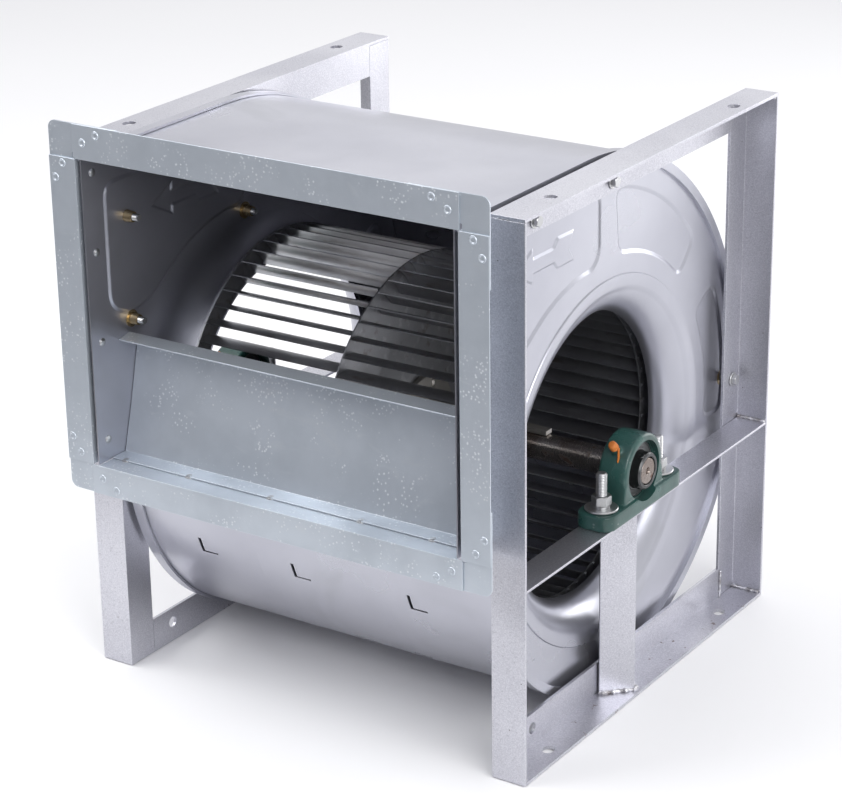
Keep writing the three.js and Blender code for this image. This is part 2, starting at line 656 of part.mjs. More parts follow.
for (const side of Object.keys(SIDES)) {
  place(`side_plate_${side}`, sidePlate(side), 'galvanized');
  place(`inlet_cone_${side}`, inletCone(side), 'galvanized');
  for (const level of ['top', 'bottom']) {
    place(`corner_plate_${level}_${side}`, cornerPlate(side, level), 'flange_zinc');
  }
  place(`top_rail_${side}`, topRail(side), 'frame_paint');
  place(`bottom_rail_${side}`, bottomRail(side), 'frame_paint');
  place(`front_post_${side}`, post(side, 'front'), 'frame_paint');
  place(`rear_post_${side}`, post(side, 'rear'), 'frame_paint');
  place(`bearing_bar_${side}`, bearingBar(side), 'frame_paint');
  place(`bar_upright_${side}`, barUpright(side), 'frame_paint');
  for (const [name, position] of Object.entries(FRAME_SCREWS[side])) {
    place(`frame_screw_${name}_${side}`, frameScrew(side, position), 'zinc_fastener');
  }
  place(`bearing_housing_${side}`, bearingHousing(side), 'green_casting');
  place(`bearing_outer_ring_${side}`, bearingOuterRing(side), 'bearing_steel');
  place(`bearing_inner_ring_${side}`, bearingInnerRing(side), 'bearing_steel');
  place(`bearing_ball_row_${side}`, bearingBallRow(side), 'bearing_steel');
  place(`grease_nipple_${side}`, greaseNipple(side), 'orange_plastic');
  for (const [end, direction] of [['front', -1], ['rear', 1]]) {
    const y = SHAFT_Y + direction * (BEARING_BOLT_PITCH / 2);
    place(`bearing_bolt_${end}_${side}`, bearingBolt(side, y), 'zinc_fastener');
    place(`bearing_washer_${end}_${side}`, flatWasher(side, y), 'zinc_fastener');
    place(`bearing_nut_${end}_${side}`, hexNut(side, y), 'zinc_fastener');
  }
}

place('shaft', shaft(), 'shaft_steel');
place('drive_key', driveKey(), 'shaft_steel');
place('centre_disc', centreDisc(), 'wheel_steel');
place('wheel_hub', wheelHub(), 'zinc_fastener');
place('hub_key', hubKey(), 'zinc_fastener');
place('blade_row_left', bladeRow('left'), 'wheel_steel');
place('blade_row_right', bladeRow('right'), 'wheel_steel');

export default blower;
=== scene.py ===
# Visual model of a double-inlet centrifugal blower with a forward-curved wheel.
# Lengths are written in millimetres from the middle of the housing, the front face of the
# side frames and the floor; at() turns them into a place in the frame, in metres.
import json
import math

import bmesh
import bpy
from mathutils import Matrix, Vector


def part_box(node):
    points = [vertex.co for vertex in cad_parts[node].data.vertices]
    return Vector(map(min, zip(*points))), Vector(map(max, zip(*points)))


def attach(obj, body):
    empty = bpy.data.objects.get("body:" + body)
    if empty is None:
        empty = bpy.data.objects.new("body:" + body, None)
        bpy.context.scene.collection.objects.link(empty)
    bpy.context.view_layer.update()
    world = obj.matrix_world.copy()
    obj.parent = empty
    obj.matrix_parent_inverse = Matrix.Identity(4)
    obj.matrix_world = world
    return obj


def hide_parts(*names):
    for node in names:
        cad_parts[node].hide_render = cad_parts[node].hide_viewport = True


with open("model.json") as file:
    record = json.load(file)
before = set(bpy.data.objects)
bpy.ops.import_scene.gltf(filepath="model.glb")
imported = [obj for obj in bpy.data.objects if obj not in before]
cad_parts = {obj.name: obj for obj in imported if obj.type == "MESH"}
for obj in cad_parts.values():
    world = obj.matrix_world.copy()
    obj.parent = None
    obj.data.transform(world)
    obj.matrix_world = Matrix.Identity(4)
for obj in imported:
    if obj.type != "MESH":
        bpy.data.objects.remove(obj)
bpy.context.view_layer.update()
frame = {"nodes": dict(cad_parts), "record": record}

# ---- driving dimensions ----
MM = 0.001
AXLE = Vector(frame["record"]["behaviour"]["joints"][0]["pos_m"])
FRAME_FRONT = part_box("front_post_right")[0][1]
ORIGIN = Vector((AXLE.x, FRAME_FRONT, 0))
X_AXIS = Vector((1, 0, 0))
Y_AXIS = Vector((0, 1, 0))
Z_AXIS = Vector((0, 0, 1))


def at(x, y, z):
    return ORIGIN + Vector((x, y, z)) * MM


def span(node, axis):
    """Lowest and highest place of a node along an axis, in the lengths of at()."""
    low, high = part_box(node)
    return [(corner[axis] - ORIGIN[axis]) / MM for corner in (low, high)]


SHAFT_Y = (AXLE.y - ORIGIN.y) / MM
SHAFT_Z = AXLE.z / MM
SHAFT_LINE = at(0, SHAFT_Y, SHAFT_Z)
GAP = 0.3
SHEET = 1.5
SHEET_WALL = SHEET - GAP
SEAM_X = span("side_plate_right", 0)[1]
PLATE_X = SEAM_X - 4.5
SEAM_INNER_X = span("side_plate_right", 0)[0]
HOUSING_TOP = span("scroll_wrapper", 2)[1]
SCROLL_BOTTOM = span("scroll_wrapper", 2)[0]
SCROLL_REAR = span("scroll_wrapper", 1)[1]
NECK_FRONT = span("scroll_wrapper", 1)[0]
NECK_BOTTOM = SHAFT_Z
SCROLL_FRONT = 6.5
SCROLL_CROWN_Y = 195
FLANGE_Y, FLANGE_BACK = span("outlet_flange_top", 1)
FRAME_X = span("front_post_right", 0)[0]
FRAME_OUTER = span("front_post_right", 0)[1]
FRAME_DEPTH = span("top_rail_right", 1)[1]
FRAME_HEIGHT = span("top_rail_right", 2)[1]
ANGLE_WALL = 3.5
BAR_UNDER, BAR_TOP = span("bearing_bar_right", 2)
BEARING_X = 257
BEARING_MIDDLE = at(BEARING_X, SHAFT_Y, SHAFT_Z)
BOLT_PITCH = 120
FOOT_TOP = BAR_TOP + 17
INLET_RADIUS = 204
THROAT_RADIUS = 157
STEP_RADIUS = 187
INLET_DEPTH = 35
WHEEL_X = -6
WHEEL_RADIUS = 190.5
WHEEL_INNER = 163
WHEEL_HALF_LENGTH = 186
BLADE_COUNT = 56
BLADE_SWEEP = 5.0
INSERT_RADIUS = 30.7
SIDES = {"right": 1, "left": -1}


# ---- working by hand: selecting, drawing, turning ----
def clear_selection():
    bpy.ops.object.select_all(action="DESELECT")


def take(piece):
    clear_selection()
    piece.select_set(True)
    bpy.context.view_layer.objects.active = piece


def select_all(action="SELECT"):
    bpy.ops.mesh.select_all(action=action)


def open_mesh(piece, pick="VERT"):
    take(piece)
    bpy.ops.object.mode_set(mode="EDIT")
    bpy.ops.mesh.select_mode(type=pick)


def close_mesh():
    bpy.ops.object.mode_set(mode="OBJECT")


def face_outwards(piece):
    """Merges what lies together and turns every face outwards."""
    open_mesh(piece)
    select_all()
    bpy.ops.mesh.remove_doubles(threshold=MM * 0.001)
    bpy.ops.mesh.normals_make_consistent(inside=False)
    close_mesh()


def draw_line(points, ends="open"):
    """Draws a line from one vertex, point by point; ends may be open, joined or filled."""
    clear_selection()
    bpy.ops.mesh.primitive_plane_add(size=MM, location=points[0])
    piece = bpy.context.object
    bpy.ops.object.transform_apply(location=True)
    bpy.ops.object.mode_set(mode="EDIT")
    select_all()
    bpy.ops.mesh.merge(type="CENTER")
    for here, there in zip(points, points[1:]):
        bpy.ops.mesh.extrude_vertices_move(TRANSFORM_OT_translate={"value": there - here})
    if ends == "joined":
        mesh = bmesh.from_edit_mesh(piece.data)
        mesh.verts.ensure_lookup_table()
        mesh.verts[0].select_set(True)
        mesh.select_flush(True)
        bpy.ops.mesh.edge_face_add()
    if ends == "filled":
        select_all()
        bpy.ops.mesh.edge_face_add()
    close_mesh()
    return piece


def select_vertices(piece, test):
    """Selects the vertices whose place passes the test, with the mesh open."""
    mesh = bmesh.from_edit_mesh(piece.data)
    for vertex in mesh.verts:
        if test(vertex.co):
            vertex.select_set(True)
    mesh.select_flush(True)
    bmesh.update_edit_mesh(piece.data)


def extrude_all(piece, step):
    open_mesh(piece)
    select_all()
    bpy.ops.mesh.extrude_region_move(TRANSFORM_OT_translate={"value": step})
    close_mesh()


def slab(outline, x0, x1):
    """A flat outline of (y, z) points with thickness along x."""
    piece = draw_line([at(x0, y, z) for y, z in outline], "filled")
    extrude_all(piece, X_AXIS * (x1 - x0) * MM)
    face_outwards(piece)
    return piece


def cube(middle, size):
    """A block square to the axes, its size in millimetres."""
    clear_selection()
    bpy.ops.mesh.primitive_cube_add(size=1, location=middle, scale=[length * MM for length in size])
    bpy.ops.object.transform_apply(location=True, rotation=True, scale=True)
    return bpy.context.object


def turned(profile, centre, axis, steps=64):
    """Turns (along, radius) points about an axis; a profile off the axis is joined up."""
    outward = X_AXIS if axis is Z_AXIS else Z_AXIS
    points = [centre + axis * along * MM + outward * radius * MM for along, radius in profile]
    ends = "open" if profile[0][1] == 0 else "joined"
    piece = draw_line(points, ends)
    open_mesh(piece)
    select_all()
    bpy.ops.mesh.spin(steps=steps, angle=math.tau, center=centre, axis=axis)
    close_mesh()
    face_outwards(piece)
    return piece


def modify(piece, kind, **settings):
    """Adds a modifier and applies it."""
    take(piece)
    modifier = piece.modifiers.new(kind.title(), kind)
    for key, value in settings.items():
        setattr(modifier, key, value)
    bpy.ops.object.modifier_apply(modifier=modifier.name)
    return piece


def round_edges(piece, width, segments=2, above=32):
    modify(
        piece, "BEVEL", width=width * MM, segments=segments,
        limit_method="ANGLE", angle_limit=math.radians(above))
    return piece


def discard(*patterns):
    for pattern in patterns:
        bpy.data.objects.remove(pattern, do_unlink=True)


def combine(piece, tools, operation="DIFFERENCE"):
    """Cuts the tools out of a piece, or joins them to it; the tools are used up."""
    for tool in tools:
        modify(piece, "BOOLEAN", object=tool, operation=operation, solver="MANIFOLD")
        discard(tool)
    return piece


def join(pieces):
    clear_selection()
    for piece in pieces:
        piece.select_set(True)
    bpy.context.view_layer.objects.active = pieces[0]
    bpy.ops.object.join()
    return pieces[0]


def copied(piece, change=Matrix.Identity(4)):
    """A copy with its own mesh, moved or mirrored by the change."""
    copy = piece.copy()
    copy.data = piece.data.copy()
    bpy.context.scene.collection.objects.link(copy)
    copy.data.transform(change)
    if change.determinant() < 0:
        copy.data.flip_normals()
    return copy


MIRROR = Matrix.Translation(AXLE) @ Matrix.Scale(-1, 4, X_AXIS) @ Matrix.Translation(-AXLE)


def on_side(piece, side):
    """Keeps a right-hand piece, or hands back its left-hand twin."""
    return copied(piece) if side == "right" else copied(piece, MIRROR)


def turn_about(centre, degrees):
    """A turn about a line along x through the centre."""
    turn = Matrix.Rotation(math.radians(degrees), 4, "X")
    return Matrix.Translation(centre) @ turn @ Matrix.Translation(-centre)


def about_shaft(degrees):
    return turn_about(AXLE, degrees)


def ring_of(piece, count):
    """Copies of a piece at even angles round the shaft, in one mesh."""
    return join([piece] + [copied(piece, about_shaft(360 * n / count)) for n in range(1, count)])


def finish(piece, name, body, material, slot, nodes=(), smooth=30):
    """Shades and names a piece, says what it rides on and hides the nodes it stands for."""
    piece.name = name
    piece.data.name = name
    take(piece)
    bpy.ops.object.shade_smooth_by_angle(angle=math.radians(smooth))
    modify(piece, "WEIGHTED_NORMAL", keep_sharp=True)
    piece.data.materials.clear()
    piece.data.materials.append(material)
    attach(piece, body)
    if nodes:
        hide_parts(*nodes)
    return piece


def from_cad(node, bevel, segments=2):
    """A copy of a CAD piece, merged, with its flat faces whole again and its edges rounded."""
    source = frame["nodes"][node]
    piece = bpy.data.objects.new(node, source.data.copy())
    bpy.context.scene.collection.objects.link(piece)
    open_mesh(piece)
    select_all()
    bpy.ops.mesh.remove_doubles(threshold=MM * 0.002)
    bpy.ops.mesh.dissolve_limited(angle_limit=math.radians(0.5))
    close_mesh()
    return round_edges(piece, bevel, segments)


# ---- materials ----
def add(tree, kind, settings=None, **inputs):
    """Adds a shader node; an input takes a value, or another node's output."""
    made = tree.nodes.new("ShaderNode" + kind)
    for key, value in (settings or {}).items():
        setattr(made, key, value)
    for key, value in inputs.items():
        socket = made.inputs[int(key[1:])] if key[1:].isdigit() else made.inputs[key.replace("_", " ")]
        if isinstance(value, bpy.types.NodeSocket):
            tree.links.new(value, socket)
        else:
            socket.default_value = value
    return made


def place_of(tree, stretch=(1, 1, 1)):
    """The place on the piece that a pattern is read at, stretched if wanted."""
    place = add(tree, "TexCoord").outputs["Object"]
    if stretch == (1, 1, 1):
        return place
    return add(tree, "Mapping", Vector=place, Scale=stretch).outputs["Vector"]


def clouds(tree, scale, detail=3.0, stretch=(1, 1, 1), distortion=0.0):
    made = add(
        tree, "TexNoise", Vector=place_of(tree, stretch), Scale=scale, Detail=detail, Distortion=distortion)
    return made.outputs["Fac"]


def cells(tree, scale, result="Distance"):
    return add(tree, "TexVoronoi", Vector=place_of(tree), Scale=scale).outputs[result]


def between(tree, value, low, high, to_low=0.0, to_high=1.0):
    """Spreads the stretch of a value from low to high, with soft ends."""
    made = add(
        tree, "MapRange", {"interpolation_type": "SMOOTHSTEP"},
        Value=value, From_Min=low, From_Max=high, To_Min=to_low, To_Max=to_high)
    return made.outputs["Result"]


def blend(tree, amount, first, second):
    made = add(tree, "Mix", {"data_type": "RGBA"}, _0=amount, _6=first, _7=second)
    return made.outputs[2]


def times(tree, first, second, operation="MULTIPLY"):
    """Two values multiplied, or put together by another operation."""
    return add(tree, "Math", {"operation": operation}, _0=first, _1=second).outputs[0]


def grey(value, blue=0.0):
    """A grey of one tone, cooler or warmer by the blue."""
    return (value, value * (1 + blue * 0.4), value * (1 + blue), 1)


def start_material(name, metallic):
    """A new material, its nodes and its shader."""
    material = bpy.data.materials.new(name)
    material.use_nodes = True
    tree = material.node_tree
    shader = tree.nodes["Principled BSDF"]
    shader.inputs["Metallic"].default_value = metallic
    return material, tree, shader


def feed(tree, shader, colour, roughness, height, depth, distance=0.0004):
    """Wires colour, roughness and a relief of the given depth into the shader."""
    tree.links.new(colour, shader.inputs["Base Color"])
    tree.links.new(roughness, shader.inputs["Roughness"])
    relief = add(tree, "Bump", Strength=depth, Distance=distance, Height=height)
    tree.links.new(relief.outputs["Normal"], shader.inputs["Normal"])


def mottled(tree, blotch, dark, light, low=0.3, high=0.7):
    """Two colours in soft patches."""
    return blend(tree, between(tree, blotch, low, high), dark, light)


def metal(name, tone, blue, metallic, rough, blotches):
    """Plain worn metal: blotches and a fine grain."""
    material, tree, shader = start_material(name, metallic)
    blotch = clouds(tree, 9, 5)
    fine = clouds(tree, 900, 2)
    colour = mottled(tree, blotch, grey(tone * (1 - blotches), blue), grey(tone, blue))
    colour = blend(tree, between(tree, fine, 0.2, 0.8, 0, 0.25), colour, grey(tone * 1.15, blue))
    roughness = between(tree, blotch, 0.3, 0.7, rough + 0.05, rough - 0.05)
    feed(tree, shader, colour, roughness, fine, 0.1)
    return material


def frame_paint():
    """Silver paint, grainy, with dark specks and rust where the feet are chipped."""
    material, tree, shader = start_material("frame_silver_paint", 0.95)
    blotch = clouds(tree, 7, 5)
    fine = clouds(tree, 700, 2)
    colour = mottled(tree, blotch, (0.52, 0.52, 0.57, 1), (0.60, 0.60, 0.65, 1))
    colour = blend(tree, between(tree, fine, 0.45, 0.62, 0, 0.4), colour, (0.80, 0.80, 0.84, 1))
    pores = between(tree, clouds(tree, 500, 3), 0.58, 0.68, 0, 0.35)
    colour = blend(tree, pores, colour, (0.32, 0.32, 0.36, 1))
    specks = between(tree, cells(tree, 75), 0.07, 0.03)
    gate = between(tree, clouds(tree, 16, 2), 0.52, 0.60)
    colour = blend(tree, times(tree, specks, gate), colour, (0.12, 0.10, 0.10, 1))
    height_up = add(tree, "SeparateXYZ", Vector=place_of(tree)).outputs["Z"]
    low = between(tree, height_up, 0.007, 0.0)
    chipped = times(tree, low, between(tree, clouds(tree, 70, 4), 0.66, 0.70))
    colour = blend(tree, chipped, colour, (0.16, 0.07, 0.035, 1))
    roughness = times(tree, between(tree, blotch, 0.3, 0.7, 0.44, 0.34), chipped, "ADD")
    feed(tree, shader, colour, roughness, fine, 0.2)
    return material


def flange_zinc():
    """Galvanized strip, bluish, with pale specks of zinc bloom and faint smears."""
    material, tree, shader = start_material("flange_zinc", 0.62)
    blotch = clouds(tree, 12, 5)
    fine = clouds(tree, 600, 2)
    colour = mottled(tree, blotch, (0.50, 0.545, 0.60, 1), (0.60, 0.65, 0.71, 1))
    smear = between(tree, clouds(tree, 14, 4, (1, 1, 3), 2.0), 0.60, 0.72, 0, 0.35)
    colour = blend(tree, smear, colour, (0.62, 0.66, 0.70, 1))
    spots = between(tree, cells(tree, 230), 0.30, 0.20)
    gate = between(tree, clouds(tree, 26, 3), 0.48, 0.58)
    bloom = times(tree, spots, gate)
    colour = blend(tree, times(tree, bloom, 0.7), colour, (0.82, 0.85, 0.88, 1))
    roughness = times(tree, between(tree, blotch, 0.3, 0.7, 0.46, 0.36), times(tree, bloom, 0.2), "ADD")
    feed(tree, shader, colour, roughness, times(tree, fine, bloom, "ADD"), 0.12)
    return material


def housing_sheet():
    """Bright galvanized sheet: satin, with rubbed marks and fine handling scratches."""
    material, tree, shader = start_material("housing_sheet", 0.9)
    blotch = clouds(tree, 5, 4)
    fine = clouds(tree, 500, 2)
    colour = mottled(tree, blotch, (0.47, 0.475, 0.53, 1), (0.54, 0.545, 0.60, 1))
    rubbed = between(tree, clouds(tree, 7, 3, (1, 1, 1), 1.0), 0.57, 0.72, 0, 0.35)
    colour = blend(tree, rubbed, colour, (0.42, 0.43, 0.46, 1))
    arcs = clouds(tree, 26, 3, (1, 2.5, 1), 6.0)
    hair = between(tree, times(tree, arcs, 0.05, "PINGPONG"), 0.004, 0.0)
    gate = between(tree, clouds(tree, 9, 2), 0.48, 0.56)
    height_up = add(tree, "SeparateXYZ", Vector=place_of(tree)).outputs["Z"]
    on_top = between(tree, height_up, 0.594, 0.598)
    scratch = times(tree, times(tree, hair, gate), on_top)
    rubbed = times(tree, rubbed, between(tree, height_up, 0.590, 0.598, 0.1, 1.0))
    colour = blend(tree, times(tree, scratch, 0.7), colour, (0.28, 0.27, 0.27, 1))
    roughness = times(tree, between(tree, blotch, 0.3, 0.7, 0.34, 0.27), times(tree, rubbed, 0.15), "ADD")
    feed(tree, shader, colour, roughness, times(tree, fine, scratch, "SUBTRACT"), 0.06)
    return material


def wheel_sheet():
    """Dull wheel sheet with brown stains and brighter streaks along the blades."""
    material, tree, shader = start_material("wheel_sheet", 0.9)
    blotch = clouds(tree, 10, 5)
    fine = clouds(tree, 600, 2)
    colour = mottled(tree, blotch, (0.28, 0.28, 0.30, 1), (0.44, 0.45, 0.47, 1))
    stain = between(tree, clouds(tree, 14, 4, (1.5, 4, 4)), 0.60, 0.72, 0, 0.5)
    colour = blend(tree, stain, colour, (0.17, 0.13, 0.10, 1))
    streaks = between(tree, clouds(tree, 30, 3, (0.4, 3, 3)), 0.56, 0.68, 0, 0.5)
    colour = blend(tree, streaks, colour, (0.55, 0.56, 0.58, 1))
    roughness = between(tree, blotch, 0.3, 0.7, 0.42, 0.30)
    feed(tree, shader, colour, roughness, fine, 0.1)
    return material


def shaft_steel():
    """Ground shaft, oiled, with brown rust stains."""
    material, tree, shader = start_material("shaft_ground_steel", 0.95)
    blotch = clouds(tree, 22, 5)
    fine = clouds(tree, 160, 3, (12, 1, 1))
    colour = mottled(tree, blotch, (0.20, 0.16, 0.14, 1), (0.40, 0.37, 0.35, 1), 0.35, 0.65)
    rust = between(tree, clouds(tree, 60, 6), 0.56, 0.66, 0, 0.75)
    colour = blend(tree, rust, colour, (0.11, 0.05, 0.03, 1))
    roughness = times(tree, between(tree, fine, 0.3, 0.7, 0.20, 0.28), times(tree, rust, 0.35), "ADD")
    feed(tree, shader, colour, roughness, times(tree, fine, rust, "ADD"), 0.12)
    return material


def green_enamel():
    """Dark green enamel over a sand casting."""
    material, tree, shader = start_material("green_enamel", 0.0)
    blotch = clouds(tree, 30, 4)
    grain = clouds(tree, 420, 4)
    colour = mottled(tree, blotch, (0.014, 0.050, 0.044, 1), (0.026, 0.085, 0.074, 1))
    worn = between(tree, clouds(tree, 160, 4), 0.68, 0.74, 0, 0.5)
    colour = blend(tree, worn, colour, (0.20, 0.24, 0.23, 1))
    roughness = between(tree, blotch, 0.3, 0.7, 0.38, 0.26)
    shader.inputs["Coat Weight"].default_value = 0.25
    feed(tree, shader, colour, roughness, times(tree, grain, blotch, "ADD"), 0.25)
    return material


def plastic(name, dark, light, rough):
    """Moulded plastic with a fine grain."""
    material, tree, shader = start_material(name, 0.0)
    blotch = clouds(tree, 120, 3)
    colour = mottled(tree, blotch, dark, light)
    roughness = between(tree, blotch, 0.3, 0.7, rough + 0.08, rough - 0.05)
    feed(tree, shader, colour, roughness, clouds(tree, 900, 2), 0.15)
    return material


def weld_metal():
    """Bright weld, burnt brown in places."""
    material, tree, shader = start_material("weld_metal", 0.85)
    blotch = clouds(tree, 160, 4)
    colour = mottled(tree, blotch, (0.36, 0.35, 0.36, 1), (0.80, 0.80, 0.83, 1), 0.35, 0.65)
    burnt = between(tree, clouds(tree, 70, 3), 0.60, 0.68, 0, 0.7)
    colour = blend(tree, burnt, colour, (0.17, 0.13, 0.11, 1))
    roughness = between(tree, blotch, 0.3, 0.7, 0.5, 0.3)
    feed(tree, shader, colour, roughness, clouds(tree, 420, 3), 0.5)
    return material


PAINT = frame_paint()
FLANGE = flange_zinc()
HOUSING = housing_sheet()
WHEEL = wheel_sheet()
SHAFT = shaft_steel()
GREEN = green_enamel()
WELD = weld_metal()
ZINC = metal("bright_zinc", 0.62, 0.02, 0.95, 0.3, 0.25)
YELLOW_ZINC = metal("yellow_zinc", 0.5, -0.55, 0.95, 0.3, 0.3)
BEARING = metal("bearing_steel", 0.09, 0.05, 0.9, 0.32, 0.3)
SEAL = metal("seal_shield", 0.16, 0.05, 0.8, 0.4, 0.3)
HUB = metal("hub_zinc", 0.45, -0.1, 0.9, 0.38, 0.3)
ORANGE = plastic("orange_cap", (0.46, 0.13, 0.02, 1), (0.62, 0.20, 0.03, 1), 0.45)

# Body, material and slot of the pieces that share them.
SHEET_METAL = ("housing", HOUSING, "galvanized")
OUTLET_STRIP = ("housing", FLANGE, "flange_zinc")
FRAME_IRON = ("housing", PAINT, "frame_paint")
FASTENER = ("housing", ZINC, "zinc_fastener")
WHEEL_METAL = ("rotor", WHEEL, "wheel_steel")


# ---- the scroll ----
# Three quarter ellipses lead from under the outlet round the bottom and up to the flat top.
ARC_STEPS = 30
RIDGES = (-73, 88)
RIDGE_RISE = 0.45
LATCH_SLOTS = ((-151, 148.4), (-28, 147.6), (120, 147.7))
SCROLL_ARCS = [
    (SHAFT_Y, SHAFT_Y - SCROLL_FRONT, SHAFT_Z - SCROLL_BOTTOM, math.pi),
    (SHAFT_Y, SCROLL_REAR - SHAFT_Y, SHAFT_Z - SCROLL_BOTTOM, math.pi * 1.5),
    (SCROLL_CROWN_Y, SCROLL_REAR - SCROLL_CROWN_Y, HOUSING_TOP - SHAFT_Z, 0.0),
]


def scroll_line(offset):
    """The scroll as (y, z) points, moved outwards by the offset."""
    line = []
    for number, (middle, along, up, start) in enumerate(SCROLL_ARCS):
        for step in range(0 if number == 0 else 1, ARC_STEPS + 1):
            turn = start + math.pi / 2 * step / ARC_STEPS
            normal = Vector((math.cos(turn) / along, math.sin(turn) / up)).normalized() * offset
            line.append((
                middle + along * math.cos(turn) + normal.x,
                SHAFT_Z + up * math.sin(turn) + normal.y))
    return line


def scroll_band(inner, outer, front):
    """Outline of a band that follows the scroll."""
    outside = scroll_line(outer) + [(front, HOUSING_TOP + outer)]
    inside = scroll_line(inner) + [(front, HOUSING_TOP + inner)]
    return outside + inside[::-1]


def wrapper():
    """The rolled sheet, with two shallow ridges round it and three latch slots."""
    half = PLATE_X - SHEET - GAP
    lip_front = FLANGE_BACK + GAP
    lip = [(lip_front, NECK_BOTTOM - SHEET / 2), (SCROLL_FRONT + 2, NECK_BOTTOM - SHEET / 2)]
    line = lip + scroll_line(-SHEET / 2)[1:] + [(NECK_FRONT, HOUSING_TOP - SHEET / 2)]
    sheet = draw_line([at(-half, y, z) for y, z in line])
    stations = []
    for ridge in RIDGES:
        stations += [(ridge - 5, 0), (ridge - 2, RIDGE_RISE), (ridge + 2, RIDGE_RISE), (ridge + 5, 0)]
    here = -half
    for station, _ in stations + [(half, 0)]:
        open_mesh(sheet)
        select_all("DESELECT")
        select_vertices(sheet, lambda place, edge=at(here, 0, 0).x: abs(place.x - edge) < MM * 0.01)
        bpy.ops.mesh.extrude_region_move(TRANSFORM_OT_translate={"value": X_AXIS * (station - here) * MM})
        close_mesh()
        here = station
    face_outwards(sheet)
    open_mesh(sheet)
    select_all("DESELECT")
    select_vertices(sheet, lambda place: place.z < AXLE.z + 60 * MM and any(
        lift and abs(place.x - at(station, 0, 0).x) < MM * 0.01 for station, lift in stations))
    bpy.ops.transform.shrink_fatten(value=RIDGE_RISE * MM)
    close_mesh()
    modify(sheet, "SOLIDIFY", thickness=SHEET * MM, offset=0)
    modify(sheet, "TRIANGULATE")
    slots = []
    for left, foot in LATCH_SLOTS:
        for start, end, top in ((left - 1.2, left + 2.6, foot + 19), (left, left + 20, foot + 2)):
            slot = slab([(0, foot), (60, foot), (60, top), (0, top)], start, end)
            slots.append(modify(slot, "TRIANGULATE"))
    return combine(sheet, slots)


def polar(radius, degrees):
    """A (y, z) point at an angle round the shaft."""
    turn = math.radians(degrees)
    return (SHAFT_Y + radius * math.cos(turn), SHAFT_Z + radius * math.sin(turn))


def rounded(corners, radius, steps=5):
    """An outline of (y, z) corners with each corner rounded."""
    line = []
    for number, corner in enumerate(corners):
        corner = Vector(corner)
        before = Vector(corners[number - 1]) - corner
        after = Vector(corners[(number + 1) % len(corners)]) - corner
        reach = min(radius, before.length * 0.45, after.length * 0.45)
        first = corner + before.normalized() * reach
        last = corner + after.normalized() * reach
        for step in range(steps + 1):
            t = step / steps
            point = first * (1 - t) ** 2 + corner * 2 * t * (1 - t) + last * t ** 2
            line.append((point.x, point.y))
    return line


def grown(outline, width):
    """Moves an outline outwards by an even width; its points run clockwise seen from +x."""
    line = []
    for number, point in enumerate(outline):
        point = Vector(point)
        before = (point - Vector(outline[number - 1])).normalized()
        after = (Vector(outline[(number + 1) % len(outline)]) - point).normalized()
        outward = Vector((-before.y - after.y, before.x + after.x))
        point += outward * width / (1 + before.dot(after))
        line.append((point.x, point.y))
    return line


def arc(radius_from, radius_to, start, end, steps=14):
    """Points round the shaft, from one angle and radius to another."""
    turns = [n / steps for n in range(steps + 1)]
    return [polar(radius_from + (radius_to - radius_from) * t, start + (end - start) * t) for t in turns]


def with_round_ends(inner_arc, outer_arc, radius):
    """A panel between two arcs; only its four corners are rounded."""
    line = []
    outline = inner_arc + outer_arc[::-1]
    marks = {0, len(inner_arc) - 1, len(inner_arc), len(outline) - 1}
    for number, corner in enumerate(outline):
        if number not in marks:
            line.append(corner)
            continue
        corner = Vector(corner)
        before = Vector(outline[number - 1]) - corner
        after = Vector(outline[(number + 1) % len(outline)]) - corner
        first = corner + before.normalized() * min(radius, before.length * 0.9)
        last = corner + after.normalized() * min(radius, after.length * 0.9)
        for t in (0, 0.25, 0.5, 0.75, 1):
            point = first * (1 - t) ** 2 + corner * 2 * t * (1 - t) + last * t ** 2
            line.append((point.x, point.y))
    return line


PRESS_DEPTH = 1.9
PRESS_SLOPE = 5
PRESS_STEPS = 8
ARROW_RISE = 1.7
ARROW_SLOPE = 3.3


def soft_step(t):
    """A straight slope with its top and foot rounded."""
    if t < 0.25:
        return t * t / 0.375
    if t > 0.75:
        return 1 - (1 - t) ** 2 / 0.375
    return (t - 0.125) / 0.75


def pressed_panel(outline_at, surface, rise, slope):
    """A sheet panel: rings of one outline that step up a soft slope to a flat face."""
    rings = []
    for step in range(PRESS_STEPS + 1):
        t = step / PRESS_STEPS
        x = surface + rise * soft_step(t)
        ring = outline_at(slope * (1 - t))
        ends = "filled" if step == PRESS_STEPS else "joined"
        rings.append(draw_line([at(x, y, z) for y, z in ring], ends))
    panel = join(rings)
    open_mesh(panel)
    select_all()
    bpy.ops.mesh.bridge_edge_loops()
    select_all()
    bpy.ops.mesh.normals_make_consistent(inside=False)
    close_mesh()
    modify(panel, "SOLIDIFY", thickness=SHEET_WALL * MM, offset=0)
    face_outwards(panel)
    panel.data.transform(Matrix.Translation(-X_AXIS * SHEET_WALL / 2 * MM))
    return modify(panel, "TRIANGULATE")


def press(plate, outline_at, surface, rise, slope):
    """Cuts the outline out of the plate; hands back the panel that fills the opening."""
    opening = slab(outline_at(slope - 0.1), surface - 3, surface + 3)
    combine(plate, [modify(opening, "TRIANGULATE")])
    return pressed_panel(outline_at, surface, rise, slope)


